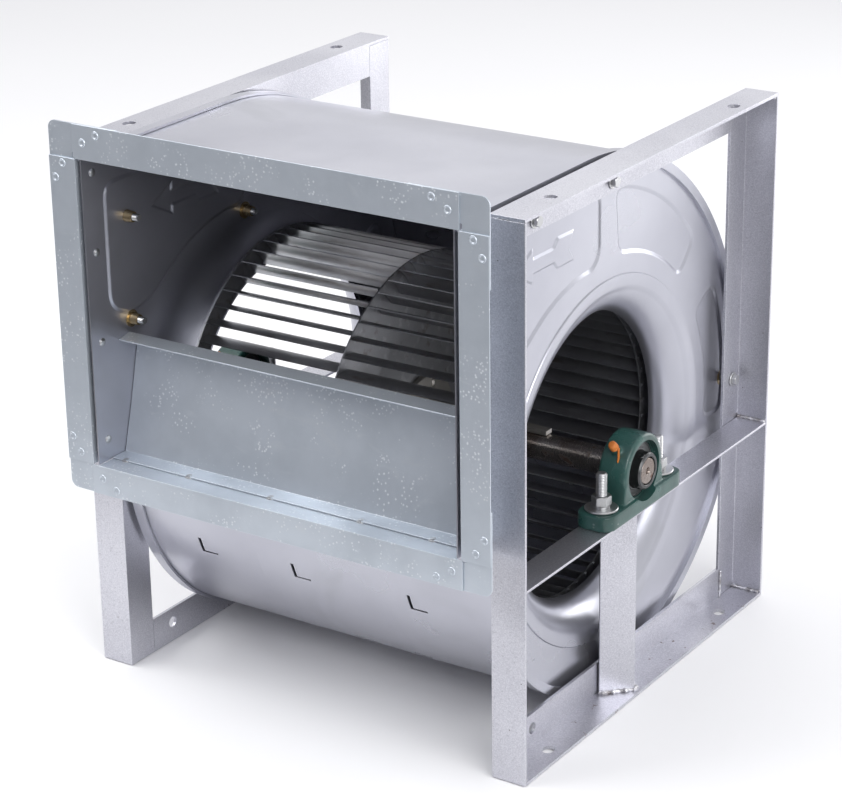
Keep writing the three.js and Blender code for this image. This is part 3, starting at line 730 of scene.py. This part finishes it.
def side_plate():
    """Flat plate with its folded seam, three pressed panels and a turning arrow."""
    plate_outline = [
        (NECK_FRONT, HOUSING_TOP - GAP), (NECK_FRONT, NECK_BOTTOM + GAP),
        (SCROLL_FRONT + GAP, NECK_BOTTOM + GAP), *scroll_line(-GAP)]
    plate = modify(slab(plate_outline, PLATE_X - SHEET, PLATE_X), "TRIANGULATE")
    outlet_panel = rounded([
        (226, 561), (226, 498), polar(226, 97.5), polar(231, 104), polar(235, 112),
        polar(239, 121), polar(243, 131), (56, 424), (20, 416), (-10, 430), (-10, 561)], 14)
    upper_panel = with_round_ends(arc(228, 228, 46, 83), arc(271, 295, 46, 86), 14)
    rear_panel = with_round_ends(arc(227, 227, -6, 28), arc(262, 268, -6, 28), 14)
    outlet_press, upper_press, rear_press = [
        press(plate, lambda width, panel=panel: grown(panel, width), PLATE_X, -PRESS_DEPTH, PRESS_SLOPE)
        for panel in (outlet_panel, upper_panel, rear_panel)]
    arrow = [
        (66, 520.3), (95, 535), (95, 526), (138, 526), (145, 534.5), (173, 534), (163.5, 520.3),
        (173, 507), (145, 507), (138, 514.5), (95, 514.5), (95, 505.5)]
    arrow_press = press(
        outlet_press, lambda width: rounded(grown(arrow, width), 2.5, 3), PLATE_X - PRESS_DEPTH,
        ARROW_RISE, ARROW_SLOPE)
    seam_face = slab(scroll_band(-7, 3.3, NECK_FRONT + 3), PLATE_X - 0.3, SEAM_X)
    seam_wrap = slab(scroll_band(0.3, 3.3, NECK_FRONT + 3), SEAM_INNER_X, SEAM_X - 0.2)
    combine(seam_face, [seam_wrap], "UNION")
    round_edges(seam_face, 1.1, 3, 40)
    mouth = INLET_RADIUS - 4
    bore = turned([(-8, 0), (-8, mouth), (8, mouth), (8, 0)], at(PLATE_X, SHAFT_Y, SHAFT_Z), X_AXIS, 128)
    combine(plate, [bore])
    return join([plate, seam_face, outlet_press, upper_press, rear_press, arrow_press])


def inlet_cone():
    """Bell-mouth: a quarter ellipse from the plate to the throat, with one fine step."""
    drop = INLET_RADIUS - THROAT_RADIUS
    throat_x = PLATE_X - INLET_DEPTH
    steps = 24
    front = [(PLATE_X + 0.2, INLET_RADIUS - 1)]
    back = []
    for step in range(steps + 1):
        turn = math.pi / 2 * step / steps
        radius = INLET_RADIUS - 2 - (drop - 2) * math.sin(turn)
        raised = 1.3 if radius > STEP_RADIUS else 0.3
        front.append((throat_x + INLET_DEPTH * math.cos(turn) + raised, radius))
        behind = INLET_RADIUS - 3.2 - (drop - 4.4) * math.sin(turn)
        back.append((throat_x + (INLET_DEPTH - 0.8) * math.cos(turn), behind))
    profile = [(x, radius) for x, radius in front + back[::-1]]
    return turned(profile, SHAFT_LINE, X_AXIS, 128)


# ---- wheel ----
def blade():
    """One forward-curved blade of thin sheet, from the disc to its end ring."""
    depth = WHEEL_RADIUS - 0.4 - WHEEL_INNER
    points = [polar(WHEEL_INNER + depth * n / 7, BLADE_SWEEP * (n / 7) ** 1.7) for n in range(8)]
    start = WHEEL_X + 1.4
    sheet = draw_line([at(start, y, z) for y, z in points])
    extrude_all(sheet, X_AXIS * (WHEEL_X + WHEEL_HALF_LENGTH - 2 - start) * MM)
    modify(sheet, "SOLIDIFY", thickness=0.9 * MM, offset=0)
    face_outwards(sheet)
    return sheet


def end_ring():
    """End ring with a bead rolled on its outer edge."""
    outer = WHEEL_X + WHEEL_HALF_LENGTH
    profile = [
        (outer - 1.6, WHEEL_INNER - 1), (outer, WHEEL_INNER - 1), (outer, WHEEL_RADIUS - 3.5),
        (outer - 0.4, WHEEL_RADIUS - 1.4), (outer - 1.4, WHEEL_RADIUS - 0.2), (outer - 3.2, WHEEL_RADIUS),
        (outer - 4.6, WHEEL_RADIUS - 0.8), (outer - 4.6, WHEEL_RADIUS - 1.6),
        (outer - 3.2, WHEEL_RADIUS - 1.2), (outer - 1.8, WHEEL_RADIUS - 2.2), (outer - 1.6, WHEEL_RADIUS - 4)]
    return turned(profile, SHAFT_LINE, X_AXIS, 112)


def tab():
    """Tab of a blade, folded over the end ring."""
    outer = WHEEL_X + WHEEL_HALF_LENGTH
    y, z = polar(WHEEL_INNER + 3.2, 0.4)
    return round_edges(cube(at(outer + 0.7, y, z), (1.2, 5, 3.4)), 0.4)


def blade_row():
    """One row of blades, its end ring and the tabs that hold them."""
    return join([ring_of(blade(), BLADE_COUNT), end_ring(), ring_of(tab(), BLADE_COUNT)])


def centre_disc():
    """Disc with a rolled edge and a shallow dish round the hub."""
    half = 0.8
    profile = [
        (WHEEL_X - half, 15.4), (WHEEL_X - half, 60), (WHEEL_X - half - 2, 66), (WHEEL_X - half - 2, 110),
        (WHEEL_X - half, 116), (WHEEL_X - half, WHEEL_RADIUS - 1), (WHEEL_X, WHEEL_RADIUS),
        (WHEEL_X + half, WHEEL_RADIUS - 1), (WHEEL_X + half, 116), (WHEEL_X + half - 2, 110),
        (WHEEL_X + half - 2, 66), (WHEEL_X + half, 60), (WHEEL_X + half, 15.4)]
    return turned(profile, SHAFT_LINE, X_AXIS, 112)


def wheel_hub():
    """Hub: a flange with six rivets, a barrel and a set screw."""
    face = WHEEL_X + 1.2
    profile = [
        (face, 15.3), (face, 51.2), (face + 0.8, 52), (face + 6.2, 52), (face + 7, 51.2), (face + 9, 31),
        (face + 11, 28), (face + 15, 27), (face + 50.5, 27), (face + 52, 25.5), (face + 52, 15.3)]
    hub = turned(profile, SHAFT_LINE, X_AXIS, 64)
    y, z = polar(42, 15)
    rivet = turned([(-9, 0), (-9, 3.2), (6.5, 3.2), (6.6, 5.6), (8.4, 5), (9.6, 3), (10, 0)],
                   at(face + 0.4, y, z), X_AXIS, 20)
    screw = set_screw(at(face + 36, SHAFT_Y, SHAFT_Z), 27, 60)
    return join([hub, ring_of(rivet, 6), screw])


def set_screw(centre, radius, degrees):
    """Square-ended set screw standing out of a barrel at an angle."""
    screw = turned([(radius - 6, 0), (radius - 6, 4), (radius + 2.4, 4), (radius + 3, 3.4),
                    (radius + 3, 2.2), (radius + 0.6, 2.2), (radius + 0.6, 0)], centre, Z_AXIS, 20)
    screw.data.transform(turn_about(centre, degrees))
    return screw


def shaft():
    """Shaft with chamfered ends, a centre hole and the keyway of the drive end."""
    low, high = span("shaft", 0)
    profile = [
        (low, 0), (low, 13.8), (low + 1.2, 15), (high - 1.4, 15), (high, 13.6), (high, 4.2),
        (high - 1.2, 3), (high - 6, 1.6), (high - 8, 0)]
    rod = turned(profile, SHAFT_LINE, X_AXIS, 64)
    start, end = map(Vector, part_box("drive_key"))
    room = Vector((2 * GAP, 2 * GAP, 2 * GAP))
    return combine(rod, [cube((start + end) / 2, (end - start) / MM + room)])


def hub_key():
    """Long key on the shaft, tapered towards its free end."""
    start, end = map(Vector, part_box("hub_key"))
    key = cube((start + end) / 2, (end - start) / MM)
    open_mesh(key)
    select_all("DESELECT")
    select_vertices(key, lambda place: place.x > end.x - MM and place.z > end.z - MM)
    bpy.ops.transform.translate(value=-Z_AXIS * 2 * MM)
    close_mesh()
    return round_edges(key, 0.5)


# ---- bearings ----
def casting():
    """Pillow block: slotted foot, round body with a boss, softened as a casting is."""
    plan = rounded([(-22, -82), (22, -82), (22, 82), (-22, 82)], 17, 7)
    foot = draw_line([at(BEARING_X + x, SHAFT_Y + y, BAR_TOP + GAP) for x, y in plan], "filled")
    extrude_all(foot, Z_AXIS * 16.7 * MM)
    face_outwards(foot)
    body = turned([(-17, 0), (-17, 37), (-15, 40), (15, 40), (17, 37), (17, 0)],
                  BEARING_MIDDLE, X_AXIS, 64)
    saddle = slab([(SHAFT_Y - 42, BAR_TOP + 8), (SHAFT_Y - 42, FOOT_TOP + 3), (SHAFT_Y - 39.6, SHAFT_Z - 6),
                   (SHAFT_Y + 39.6, SHAFT_Z - 6), (SHAFT_Y + 42, FOOT_TOP + 3), (SHAFT_Y + 42, BAR_TOP + 8)],
                  BEARING_X - 17, BEARING_X + 17)
    boss = turned([(-10, 0), (-10, 6), (10, 5), (10, 0)], BEARING_MIDDLE, Z_AXIS, 24)
    out = (Z_AXIS - Y_AXIS) * 27.5 * MM
    boss.data.transform(Matrix.Translation(out) @ turn_about(BEARING_MIDDLE, 45))
    combine(foot, [body, saddle, boss], "UNION")
    modify(foot, "REMESH", mode="VOXEL", voxel_size=1.3 * MM)
    modify(foot, "SMOOTH", factor=0.6, iterations=5)
    bore = turned([
        (-30, 0), (-30, 32.5), (-9.6, 32.5), (-9.6, 31), (9.6, 31), (9.6, 32.5), (30, 32.5), (30, 0)],
        BEARING_MIDDLE, X_AXIS, 64)
    under = slab([(SHAFT_Y - 42, BAR_TOP - 1), (SHAFT_Y - 42, BAR_TOP + 5), (SHAFT_Y + 42, BAR_TOP + 5),
                  (SHAFT_Y + 42, BAR_TOP - 1)], BEARING_X - 16, BEARING_X + 16)
    holes = [
        turned([(-5, 0), (-5, 7.5), (40, 7.5), (40, 0)], at(BEARING_X, y, BAR_TOP), Z_AXIS, 32)
        for y in (SHAFT_Y - BOLT_PITCH / 2, SHAFT_Y + BOLT_PITCH / 2)]
    return combine(foot, [bore, under] + holes)


def bearing_part(profile, steps=64):
    return turned(profile, BEARING_MIDDLE, X_AXIS, steps)


def outer_ring():
    """Outer ring with a seal pressed into each face."""
    half = 9.5
    return bearing_part([
        (-half, 29.6), (1 - half, INSERT_RADIUS), (half - 1, INSERT_RADIUS), (half, 29.6), (half, 28.6),
        (half - 0.8, 28.2), (half - 0.8, 23.4), (half - 0.2, 22.6), (half - 0.2, 20.9), (half - 1.2, 20.9),
        (half - 1.6, 27.6), (1.6 - half, 27.6), (1.2 - half, 20.9), (0.2 - half, 20.9), (0.2 - half, 22.6),
        (0.8 - half, 23.4), (0.8 - half, 28.2), (-half, 28.6)])


def inner_ring():
    """Inner ring, long on the outside, where its two set screws are."""
    ring = bearing_part([
        (-15.9, 15.3), (-15.9, 19.2), (-15.1, 20), (-6, 20), (-5, 17.9), (5, 17.9), (6, 20), (20.6, 20),
        (22.2, 18.6), (22.2, 16), (21.5, 15.3)])
    screws = [set_screw(at(BEARING_X + 17, SHAFT_Y, SHAFT_Z), 17.6, turn) for turn in (20, 140)]
    return join([ring] + screws)


def ball_row():
    """Nine balls on their cage."""
    cage = bearing_part([(-2.6, 22.2), (2.6, 22.2), (2.6, 23.8), (-2.6, 23.8)])
    clear_selection()
    bpy.ops.mesh.primitive_uv_sphere_add(
        segments=20, ring_count=12, radius=4.4 * MM, location=at(BEARING_X, SHAFT_Y + 23, SHAFT_Z))
    ball = bpy.context.object
    bpy.ops.object.transform_apply(location=True)
    return join([cage, ring_of(ball, 9)])


def grease_cap():
    """Push-on cap of the nipple, with the strap that keeps it hanging."""
    cap = turned([(40.8, 0), (40.8, 3.2), (44.5, 3.2), (44.8, 4.7), (49, 4.9), (49.6, 4.2), (50.6, 4.2),
                  (51, 4.8), (55, 4.4), (56.6, 3.2), (57.2, 0)], BEARING_MIDDLE, Z_AXIS, 32)
    cap.data.transform(turn_about(BEARING_MIDDLE, 45))
    strap = slab([(-1.6, 0.5), (1.6, 0.5), (1.3, -10), (2.4, -14), (1.2, -17), (-1.2, -17), (-2.4, -14),
                  (-1.3, -10)], 0, 1.4)
    strap.data.transform(Matrix.Translation(Vector((BEARING_X + 4.4, SHAFT_Y - 34, SHAFT_Z + 34)) * MM))
    return join([cap, round_edges(strap, 0.4)])


# ---- fasteners ----
def hexagon(centre, axis, across, height, chamfer=0.7):
    """Six-sided blank standing on its centre along the axis."""
    clear_selection()
    bpy.ops.mesh.primitive_cylinder_add(
        vertices=6, radius=across / math.sqrt(3) * MM, depth=height * MM,
        location=centre + axis * height / 2 * MM, rotation=axis.to_track_quat("Z", "Y").to_euler())
    blank = bpy.context.object
    bpy.ops.object.transform_apply(location=True, rotation=True, scale=True)
    round_edges(blank, chamfer * 0.5)
    cap = turned([(-1, 0), (-1, across * 0.56), (height - chamfer, across * 0.56),
                  (height + 0.01, across * 0.49), (height + 0.01, 0)], centre, axis, 48)
    return combine(blank, [cap], "INTERSECT")


def threaded_rod(centre, axis, radius, start, end, pitch):
    """A rod with a ring of thread at every pitch."""
    profile = [(start, 0), (start, radius - 0.5)]
    turn = start + pitch
    while turn < end - pitch:
        profile += [(turn, radius), (turn + pitch / 2, radius - 0.65)]
        turn += pitch
    profile += [(end - 0.8, radius - 0.6), (end, radius - 1.4), (end, 0)]
    return turned(profile, centre, axis, 32)


def bearing_bolt(y):
    """Bolt from under the bearing bar, plain below and threaded above."""
    foot = at(BEARING_X, y, BAR_UNDER)
    head = hexagon(foot - Z_AXIS * 7.8 * MM, Z_AXIS, 18, 7.5)
    plain = turned([(-1, 0), (-1, 6), (20, 6), (21, 5.4), (21, 0)], foot, Z_AXIS, 32)
    top = span("bearing_bolt_front_right", 2)[1] - BAR_UNDER
    return join([head, plain, threaded_rod(foot, Z_AXIS, 6, 20.5, top, 1.75)])


def flat_washer(centre, axis, outer, inner, wall):
    edge = wall * 0.3
    return turned([
        (0, inner), (0, outer - edge), (edge, outer), (wall - edge, outer), (wall, outer - edge),
        (wall, inner)], centre, axis, 48)


def spring_washer(centre, radius, wall):
    """Whole ring that lies flat, nearly square in section."""
    profile = [(0, radius), (0, radius + wall), (wall * 0.9, radius + wall), (wall * 0.9, radius)]
    return turned(profile, centre, Z_AXIS, 40)


def hex_nut(centre, axis, across, height, radius):
    blank = hexagon(centre, axis, across, height, 1.0)
    bore = turned([(-1, 0), (-1, radius), (height + 1, radius), (height + 1, 0)], centre, axis, 32)
    return combine(blank, [bore])


def frame_screw(y, z):
    """Hex screw through the frame, with its collar and its spacer; its rivet nut behind the plate comes from
    rivet_nut.
    """
    outer = FRAME_X + ANGLE_WALL + GAP
    head = hexagon(at(outer + 1.5, y, z), X_AXIS, 11, 4.8)
    collar = flat_washer(at(outer, y, z), X_AXIS, 8.2, 2, 1.5)
    rod = threaded_rod(at(0, y, z), X_AXIS, 4, PLATE_X - 20, outer + 3, 1.25)
    spacer = flat_washer(at(PLATE_X + 0.2, y, z), X_AXIS, 7.5, 3.4, FRAME_X - PLATE_X - 0.5)
    return join([head, collar, rod, spacer])


def rivet_nut(y, z):
    """Flanged sleeve behind the plate, with a nut on it."""
    behind = PLATE_X - SHEET
    profile = [(-0.2, 4.1), (-0.2, 9.5), (-1.4, 9.5), (-1.6, 6.6), (-9, 6.2), (-11.4, 5.6), (-11.4, 4.1)]
    sleeve = turned(profile, at(behind, y, z), X_AXIS, 32)
    return join([sleeve, hex_nut(at(behind - 7.6, y, z), X_AXIS, 11.5, 5, 4.1)])


def plate_screw(y, z):
    """Short hex screw that goes through the side plate alone."""
    head = hexagon(at(PLATE_X + 1.8, y, z), X_AXIS, 11, 4.4)
    collar = flat_washer(at(PLATE_X + 0.3, y, z), X_AXIS, 7.8, 2, 1.5)
    rod = threaded_rod(at(0, y, z), X_AXIS, 4, PLATE_X - 18, PLATE_X + 2.4, 1.25)
    return join([head, collar, rod])


def rivet(centre, axis, radius, height):
    """Low round head."""
    profile = [
        (-1.2, 0), (-1.2, radius * 0.55), (0, radius * 0.6), (0, radius),
        (height * 0.35, radius * 0.96), (height * 0.8, radius * 0.6), (height, 0)]
    return turned(profile, centre, axis, 24)


def clinch(centre, axis):
    """Pressed joint of two sheets: a raised rim round a dimple."""
    profile = [(-0.6, 0), (-0.6, 4.6), (0, 4.6), (0.7, 4.1), (0.9, 3.5), (0.5, 2.7), (-0.2, 1.8), (-0.4, 0)]
    return turned(profile, centre, axis, 28)


def weld_bead(start, end, radius, seed):
    """A run of overlapping drops, melted into one bead."""
    run = end - start
    count = max(4, int(run.length / (radius * 1.1 * MM)))
    drops = []
    for number in range(count + 1):
        wobble = Vector((math.sin(number * 2.4 + seed), math.cos(number * 3.1 + seed), 0))
        size = radius * (1 + 0.22 * math.sin(number * 1.7 + seed * 3))
        clear_selection()
        bpy.ops.mesh.primitive_ico_sphere_add(
            subdivisions=2, radius=size * MM,
            location=start + run * (number / count) + wobble * radius * 0.22 * MM)
        bpy.ops.object.transform_apply(location=True)
        drops.append(bpy.context.object)
    bead = join(drops)
    modify(bead, "REMESH", mode="VOXEL", voxel_size=0.8 * MM)
    modify(bead, "SMOOTH", factor=0.5, iterations=2)
    return bead


# ---- camera, floor and light ----
CAMERA_AZIMUTH = 33.725
CAMERA_ELEVATION = 21.477
CAMERA_ROLL = -0.904
CAMERA_PLACE = (1517.2, -2038.9, 1362.5)
LIGHTS = {
    "key": ((-1.6, -1.2, 2.6), 2.4, 56),
    "right_fill": ((2.3, -1.2, 1.6), 2.0, 40),
    "rear_right": ((1.2, 2.7, 0.8), 1.4, 20),
    "back_rim": ((-0.9, 2.4, 2.4), 2.2, 6),
}
LIT_FROM = (0.50, 0.75, 0.45)


def camera():
    azimuth, elevation, roll = map(math.radians, (CAMERA_AZIMUTH, CAMERA_ELEVATION, CAMERA_ROLL))
    back = Vector((
        math.sin(azimuth) * math.cos(elevation), -math.cos(azimuth) * math.cos(elevation),
        math.sin(elevation)))
    right = Vector((math.cos(azimuth), math.sin(azimuth), 0))
    up = back.cross(right)
    tilted_right = right * math.cos(roll) + up * math.sin(roll)
    tilted_up = up * math.cos(roll) - right * math.sin(roll)
    made = bpy.data.objects.new("camera", bpy.data.cameras.new("camera"))
    made.data.lens = 114.45
    made.data.sensor_width = 36
    turn = Matrix((tilted_right, tilted_up, back)).transposed().to_4x4()
    made.matrix_world = Matrix.Translation(at(*CAMERA_PLACE)) @ turn
    bpy.context.scene.collection.objects.link(made)
    bpy.context.scene.camera = made
    bpy.context.scene.view_settings.view_transform = "Standard"


def area_light(name, place, size, power):
    """A soft square light that faces the middle of the blower."""
    light = bpy.data.lights.new(name, "AREA")
    light.size = size
    light.energy = power
    made = bpy.data.objects.new(name, light)
    made.location = place
    away = Vector(place) - Vector((0, 0, 0.3))
    made.rotation_euler = away.to_track_quat("Z", "Y").to_euler()
    bpy.context.scene.collection.objects.link(made)


def staged_sheet(name, low, high, height):
    """A flat sheet between two corners, in metres, that isn't part of the blower."""
    clear_selection()
    bpy.ops.mesh.primitive_plane_add(
        size=1, location=((low[0] + high[0]) / 2, (low[1] + high[1]) / 2, height))
    sheet = bpy.context.object
    sheet.name = name
    sheet.scale = (high[0] - low[0], high[1] - low[1], 1)
    bpy.ops.object.transform_apply(location=True, rotation=True, scale=True)
    return sheet


def pale_floor():
    floor = staged_sheet("floor", (-12.8, -12.0), (13.2, 14.0), -0.001)
    paper, tree, shader = start_material("pale_floor", 0.0)
    colour = blend(tree, clouds(tree, 2), (0.93, 0.93, 0.94, 1), (0.95, 0.95, 0.955, 1))
    roughness = between(tree, clouds(tree, 60), 0, 1, 0.8, 0.9)
    feed(tree, shader, colour, roughness, clouds(tree, 300), 0.02)
    floor.data.materials.append(paper)


def dark_card(name, low, high):
    """Black card on the floor that only reflections show, to model the metal."""
    card = staged_sheet(name, low, high, 0.002)
    card.visible_camera = False
    card.visible_diffuse = False
    card.visible_shadow = False
    black, tree, shader = start_material(name, 0.0)
    shade = clouds(tree, 2)
    colour = blend(tree, shade, (0.03, 0.03, 0.035, 1), (0.05, 0.05, 0.055, 1))
    feed(tree, shader, colour, shade, shade, 0.0)
    card.data.materials.append(black)


def studio():
    """Soft light all round, bright from behind on the right and dim from the front."""
    world = bpy.data.worlds.new("studio")
    world.use_nodes = True
    bpy.context.scene.world = world
    tree = world.node_tree
    way = add(tree, "TexCoord").outputs["Generated"]
    rearwards = add(tree, "VectorMath", {"operation": "DOT_PRODUCT"}, _0=way, _1=LIT_FROM)
    lit = between(tree, rearwards.outputs["Value"], -0.45, 0.15)
    sky = blend(tree, lit, (0.24, 0.24, 0.27, 1), (0.98, 0.98, 1.0, 1))
    tree.links.new(sky, tree.nodes["Background"].inputs["Color"])
    tree.nodes["Background"].inputs["Strength"].default_value = 0.87
    for name, (place, size, power) in LIGHTS.items():
        area_light(name, place, size, power)
    dark_card("front_card", (-4.5, -4.5), (4.5, -0.74))
    dark_card("side_card", (1.15, -0.74), (4.5, 0.30))


camera()
pale_floor()
studio()

# ---- housing ----
finish(wrapper(), "scroll_sheet", *SHEET_METAL, ["scroll_wrapper"], 20)

plate = side_plate()
cone = inlet_cone()
for side in SIDES:
    finish(on_side(plate, side), f"side_sheet_{side}", *SHEET_METAL, [f"side_plate_{side}"], 24)
    finish(on_side(cone, side), f"bell_mouth_{side}", *SHEET_METAL, [f"inlet_cone_{side}"])
discard(plate, cone)

FLANGE_STRIPS = [f"outlet_flange_{edge}" for edge in ("top", "bottom", "left", "right")]
CORNER_PLATES = [f"corner_plate_{level}_{side}" for side in SIDES for level in ("top", "bottom")]
for node in ["cutoff_plate", *FLANGE_STRIPS, *CORNER_PLATES]:
    bevel = 0.6 if node == "cutoff_plate" else 0.5
    finish(from_cad(node, bevel), f"{node}_sheet", *OUTLET_STRIP, [node])

# ---- side frames ----
for side in SIDES:
    for part in ("top_rail", "bottom_rail", "front_post", "rear_post", "bearing_bar", "bar_upright"):
        node = f"{part}_{side}"
        finish(from_cad(node, 0.8, 3), f"{node}_iron", *FRAME_IRON, [node])

# ---- wheel and shaft ----
row = blade_row()
wheel_middle = Matrix.Translation(at(WHEEL_X, SHAFT_Y, SHAFT_Z))
mirror_wheel = wheel_middle @ Matrix.Scale(-1, 4, X_AXIS) @ wheel_middle.inverted()
turns = {"right": about_shaft(1.2), "left": about_shaft(-0.3) @ mirror_wheel}
for side, turn in turns.items():
    finish(copied(row, turn), f"blades_{side}", *WHEEL_METAL, [f"blade_row_{side}"])
discard(row)
finish(centre_disc(), "wheel_disc", *WHEEL_METAL, ["centre_disc"])
finish(wheel_hub(), "riveted_hub", "rotor", HUB, "zinc_fastener", ["wheel_hub"])
finish(hub_key(), "long_key", "rotor", HUB, "zinc_fastener", ["hub_key"])
finish(shaft(), "ground_shaft", "rotor", SHAFT, "shaft_steel", ["shaft"])
finish(from_cad("drive_key", 0.4), "square_key", "rotor", SHAFT, "shaft_steel", ["drive_key"])

# ---- bearings ----
bearing = {
    "insert": (outer_ring(), SEAL, "bearing_steel", "housing", "bearing_outer_ring"),
    "lock_ring": (inner_ring(), BEARING, "bearing_steel", "rotor", "bearing_inner_ring"),
    "balls": (ball_row(), BEARING, "bearing_steel", "cage", "bearing_ball_row"),
    "cap": (grease_cap(), ORANGE, "orange_plastic", "housing", "grease_nipple"),
    "block": (casting(), GREEN, "green_casting", "housing", "bearing_housing"),
}
for side in SIDES:
    for name, (pattern, material, slot, body, node) in bearing.items():
        rides_on = f"cage_{side}" if body == "cage" else body
        piece = on_side(pattern, side)
        finish(piece, f"bearing_{name}_{side}", rides_on, material, slot, [f"{node}_{side}"])
discard(*[pattern for pattern, *_ in bearing.values()])

for end, direction in (("front", -1), ("rear", 1)):
    y = SHAFT_Y + direction * BOLT_PITCH / 2
    fasteners = {
        "bolt": (bearing_bolt(y), "bearing_bolt"),
        "flat_washer": (flat_washer(at(BEARING_X, y, FOOT_TOP + GAP), Z_AXIS, 18, 6.3, 2.5), "bearing_washer"),
        "spring_washer": (spring_washer(at(BEARING_X, y, FOOT_TOP + 2.9), 6.3, 3.2), None),
        "nut": (hex_nut(at(BEARING_X, y, FOOT_TOP + 6), Z_AXIS, 19, 10, 6.1), "bearing_nut"),
    }
    for side in SIDES:
        for name, (pattern, node) in fasteners.items():
            nodes = [f"{node}_{end}_{side}"] if node else []
            finish(on_side(pattern, side), f"{name}_{end}_{side}", *FASTENER, nodes)
    discard(*[pattern for pattern, _ in fasteners.values()])

# ---- frame screws ----
FRAME_SCREWS = {
    "right": {"top_front": (77.5, 575.5), "top_rear": (230, 575.5), "rear": (511, 268.7)},
    "left": {"front_upper": (20, 521), "front_lower": (20, 407)},
}
PLATE_SCREW = (224, 472)
for side, places in FRAME_SCREWS.items():
    for name, (y, z) in places.items():
        screw = frame_screw(y, z)
        sleeve = rivet_nut(y, z)
        finish(on_side(screw, side), f"screw_{name}_{side}", *FASTENER, [f"frame_screw_{name}_{side}"])
        finish(on_side(sleeve, side), f"rivet_nut_{name}_{side}", "housing", YELLOW_ZINC, "zinc_fastener")
        discard(screw, sleeve)

small_screw, small_sleeve = plate_screw(*PLATE_SCREW), rivet_nut(*PLATE_SCREW)
finish(on_side(small_screw, "left"), "plate_screw_left", *FASTENER)
finish(on_side(small_sleeve, "left"), "rivet_nut_plate_left", "housing", YELLOW_ZINC, "zinc_fastener")
discard(small_screw, small_sleeve)

# ---- rivets and pressed joints of the outlet ----
WALL_RIVETS = (285, 395, 494, 580)
LEDGE_RIVETS = (-209, -124, -18, 95, 182)
CORNER_X = 249.5
CORNERS = ((603, 1), (261, -1))
CLINCHES = ((-29, 14), (-47, 24), (-1, -11), (9, -27.5))
for side in SIDES:
    for number, z in enumerate(WALL_RIVETS):
        button = rivet(at(PLATE_X - SHEET, -29, z), -X_AXIS, 4.6, 2.2)
        finish(on_side(button, side), f"wall_rivet_{number}_{side}", *FASTENER)
        discard(button)
for number, x in enumerate(LEDGE_RIVETS):
    button = rivet(at(x, -21, NECK_BOTTOM), Z_AXIS, 5, 2.4)
    finish(button, f"ledge_rivet_{number}", *FASTENER)
number = 0
for side in SIDES:
    for corner_z, way in CORNERS:
        for dx, dz in CLINCHES:
            number += 1
            spot = clinch(at(CORNER_X + dx, FLANGE_Y, corner_z + way * dz), -Y_AXIS)
            finish(on_side(spot, side), f"clinch_{number}", *OUTLET_STRIP)
            discard(spot)

# ---- weld beads of the side frames ----
# Each bead runs between two places beside the right-hand frame.
INNER = FRAME_X + 5
OUTER = FRAME_OUTER - 3
REAR = FRAME_DEPTH - 5
ON_BAR = BAR_TOP + 1
BEADS = [
    (at(FRAME_X + 6, 265, 5), at(FRAME_X + 34, 240, 5), 2.8),
    (at(FRAME_X + 34, 236, 5), at(FRAME_X + 8, 208, 5), 2.8),
    (at(INNER, REAR, ON_BAR), at(OUTER, REAR, ON_BAR), 1.8),
    (at(INNER, 5, ON_BAR), at(OUTER, 5, ON_BAR), 1.8),
    (at(INNER, REAR, 5), at(OUTER, REAR, 5), 1.8),
    (at(INNER, FRAME_DEPTH - 38, 5), at(INNER, FRAME_DEPTH - 38, 36), 1.6),
    (at(INNER, 5, 5), at(OUTER, 5, 5), 1.8),
    (at(FRAME_X + 1, 1, FRAME_HEIGHT - 3.4), at(OUTER, 1, FRAME_HEIGHT - 3.4), 1.2),
    (at(INNER, REAR, FRAME_HEIGHT - 5), at(OUTER, REAR, FRAME_HEIGHT - 5), 1.8),
]
for number, (start, end, radius) in enumerate(BEADS):
    bead = weld_bead(start, end, radius, number)
    for side in SIDES:
        finish(on_side(bead, side), f"weld_{number}_{side}", "housing", WELD, "frame_paint", smooth=60)
    discard(bead)

# ---- everything still shown from the CAD ----
CAD_FINISHES = {
    "frame_paint": PAINT, "galvanized": HOUSING, "flange_zinc": FLANGE, "wheel_steel": WHEEL,
    "shaft_steel": SHAFT, "green_casting": GREEN, "bearing_steel": BEARING,
    "orange_plastic": ORANGE, "zinc_fastener": ZINC}
for part in frame["record"]["subparts"]:
    node = frame["nodes"][part["node"]]
    node.data.materials.clear()
    node.data.materials.append(CAD_FINISHES[part["material_slot"]])
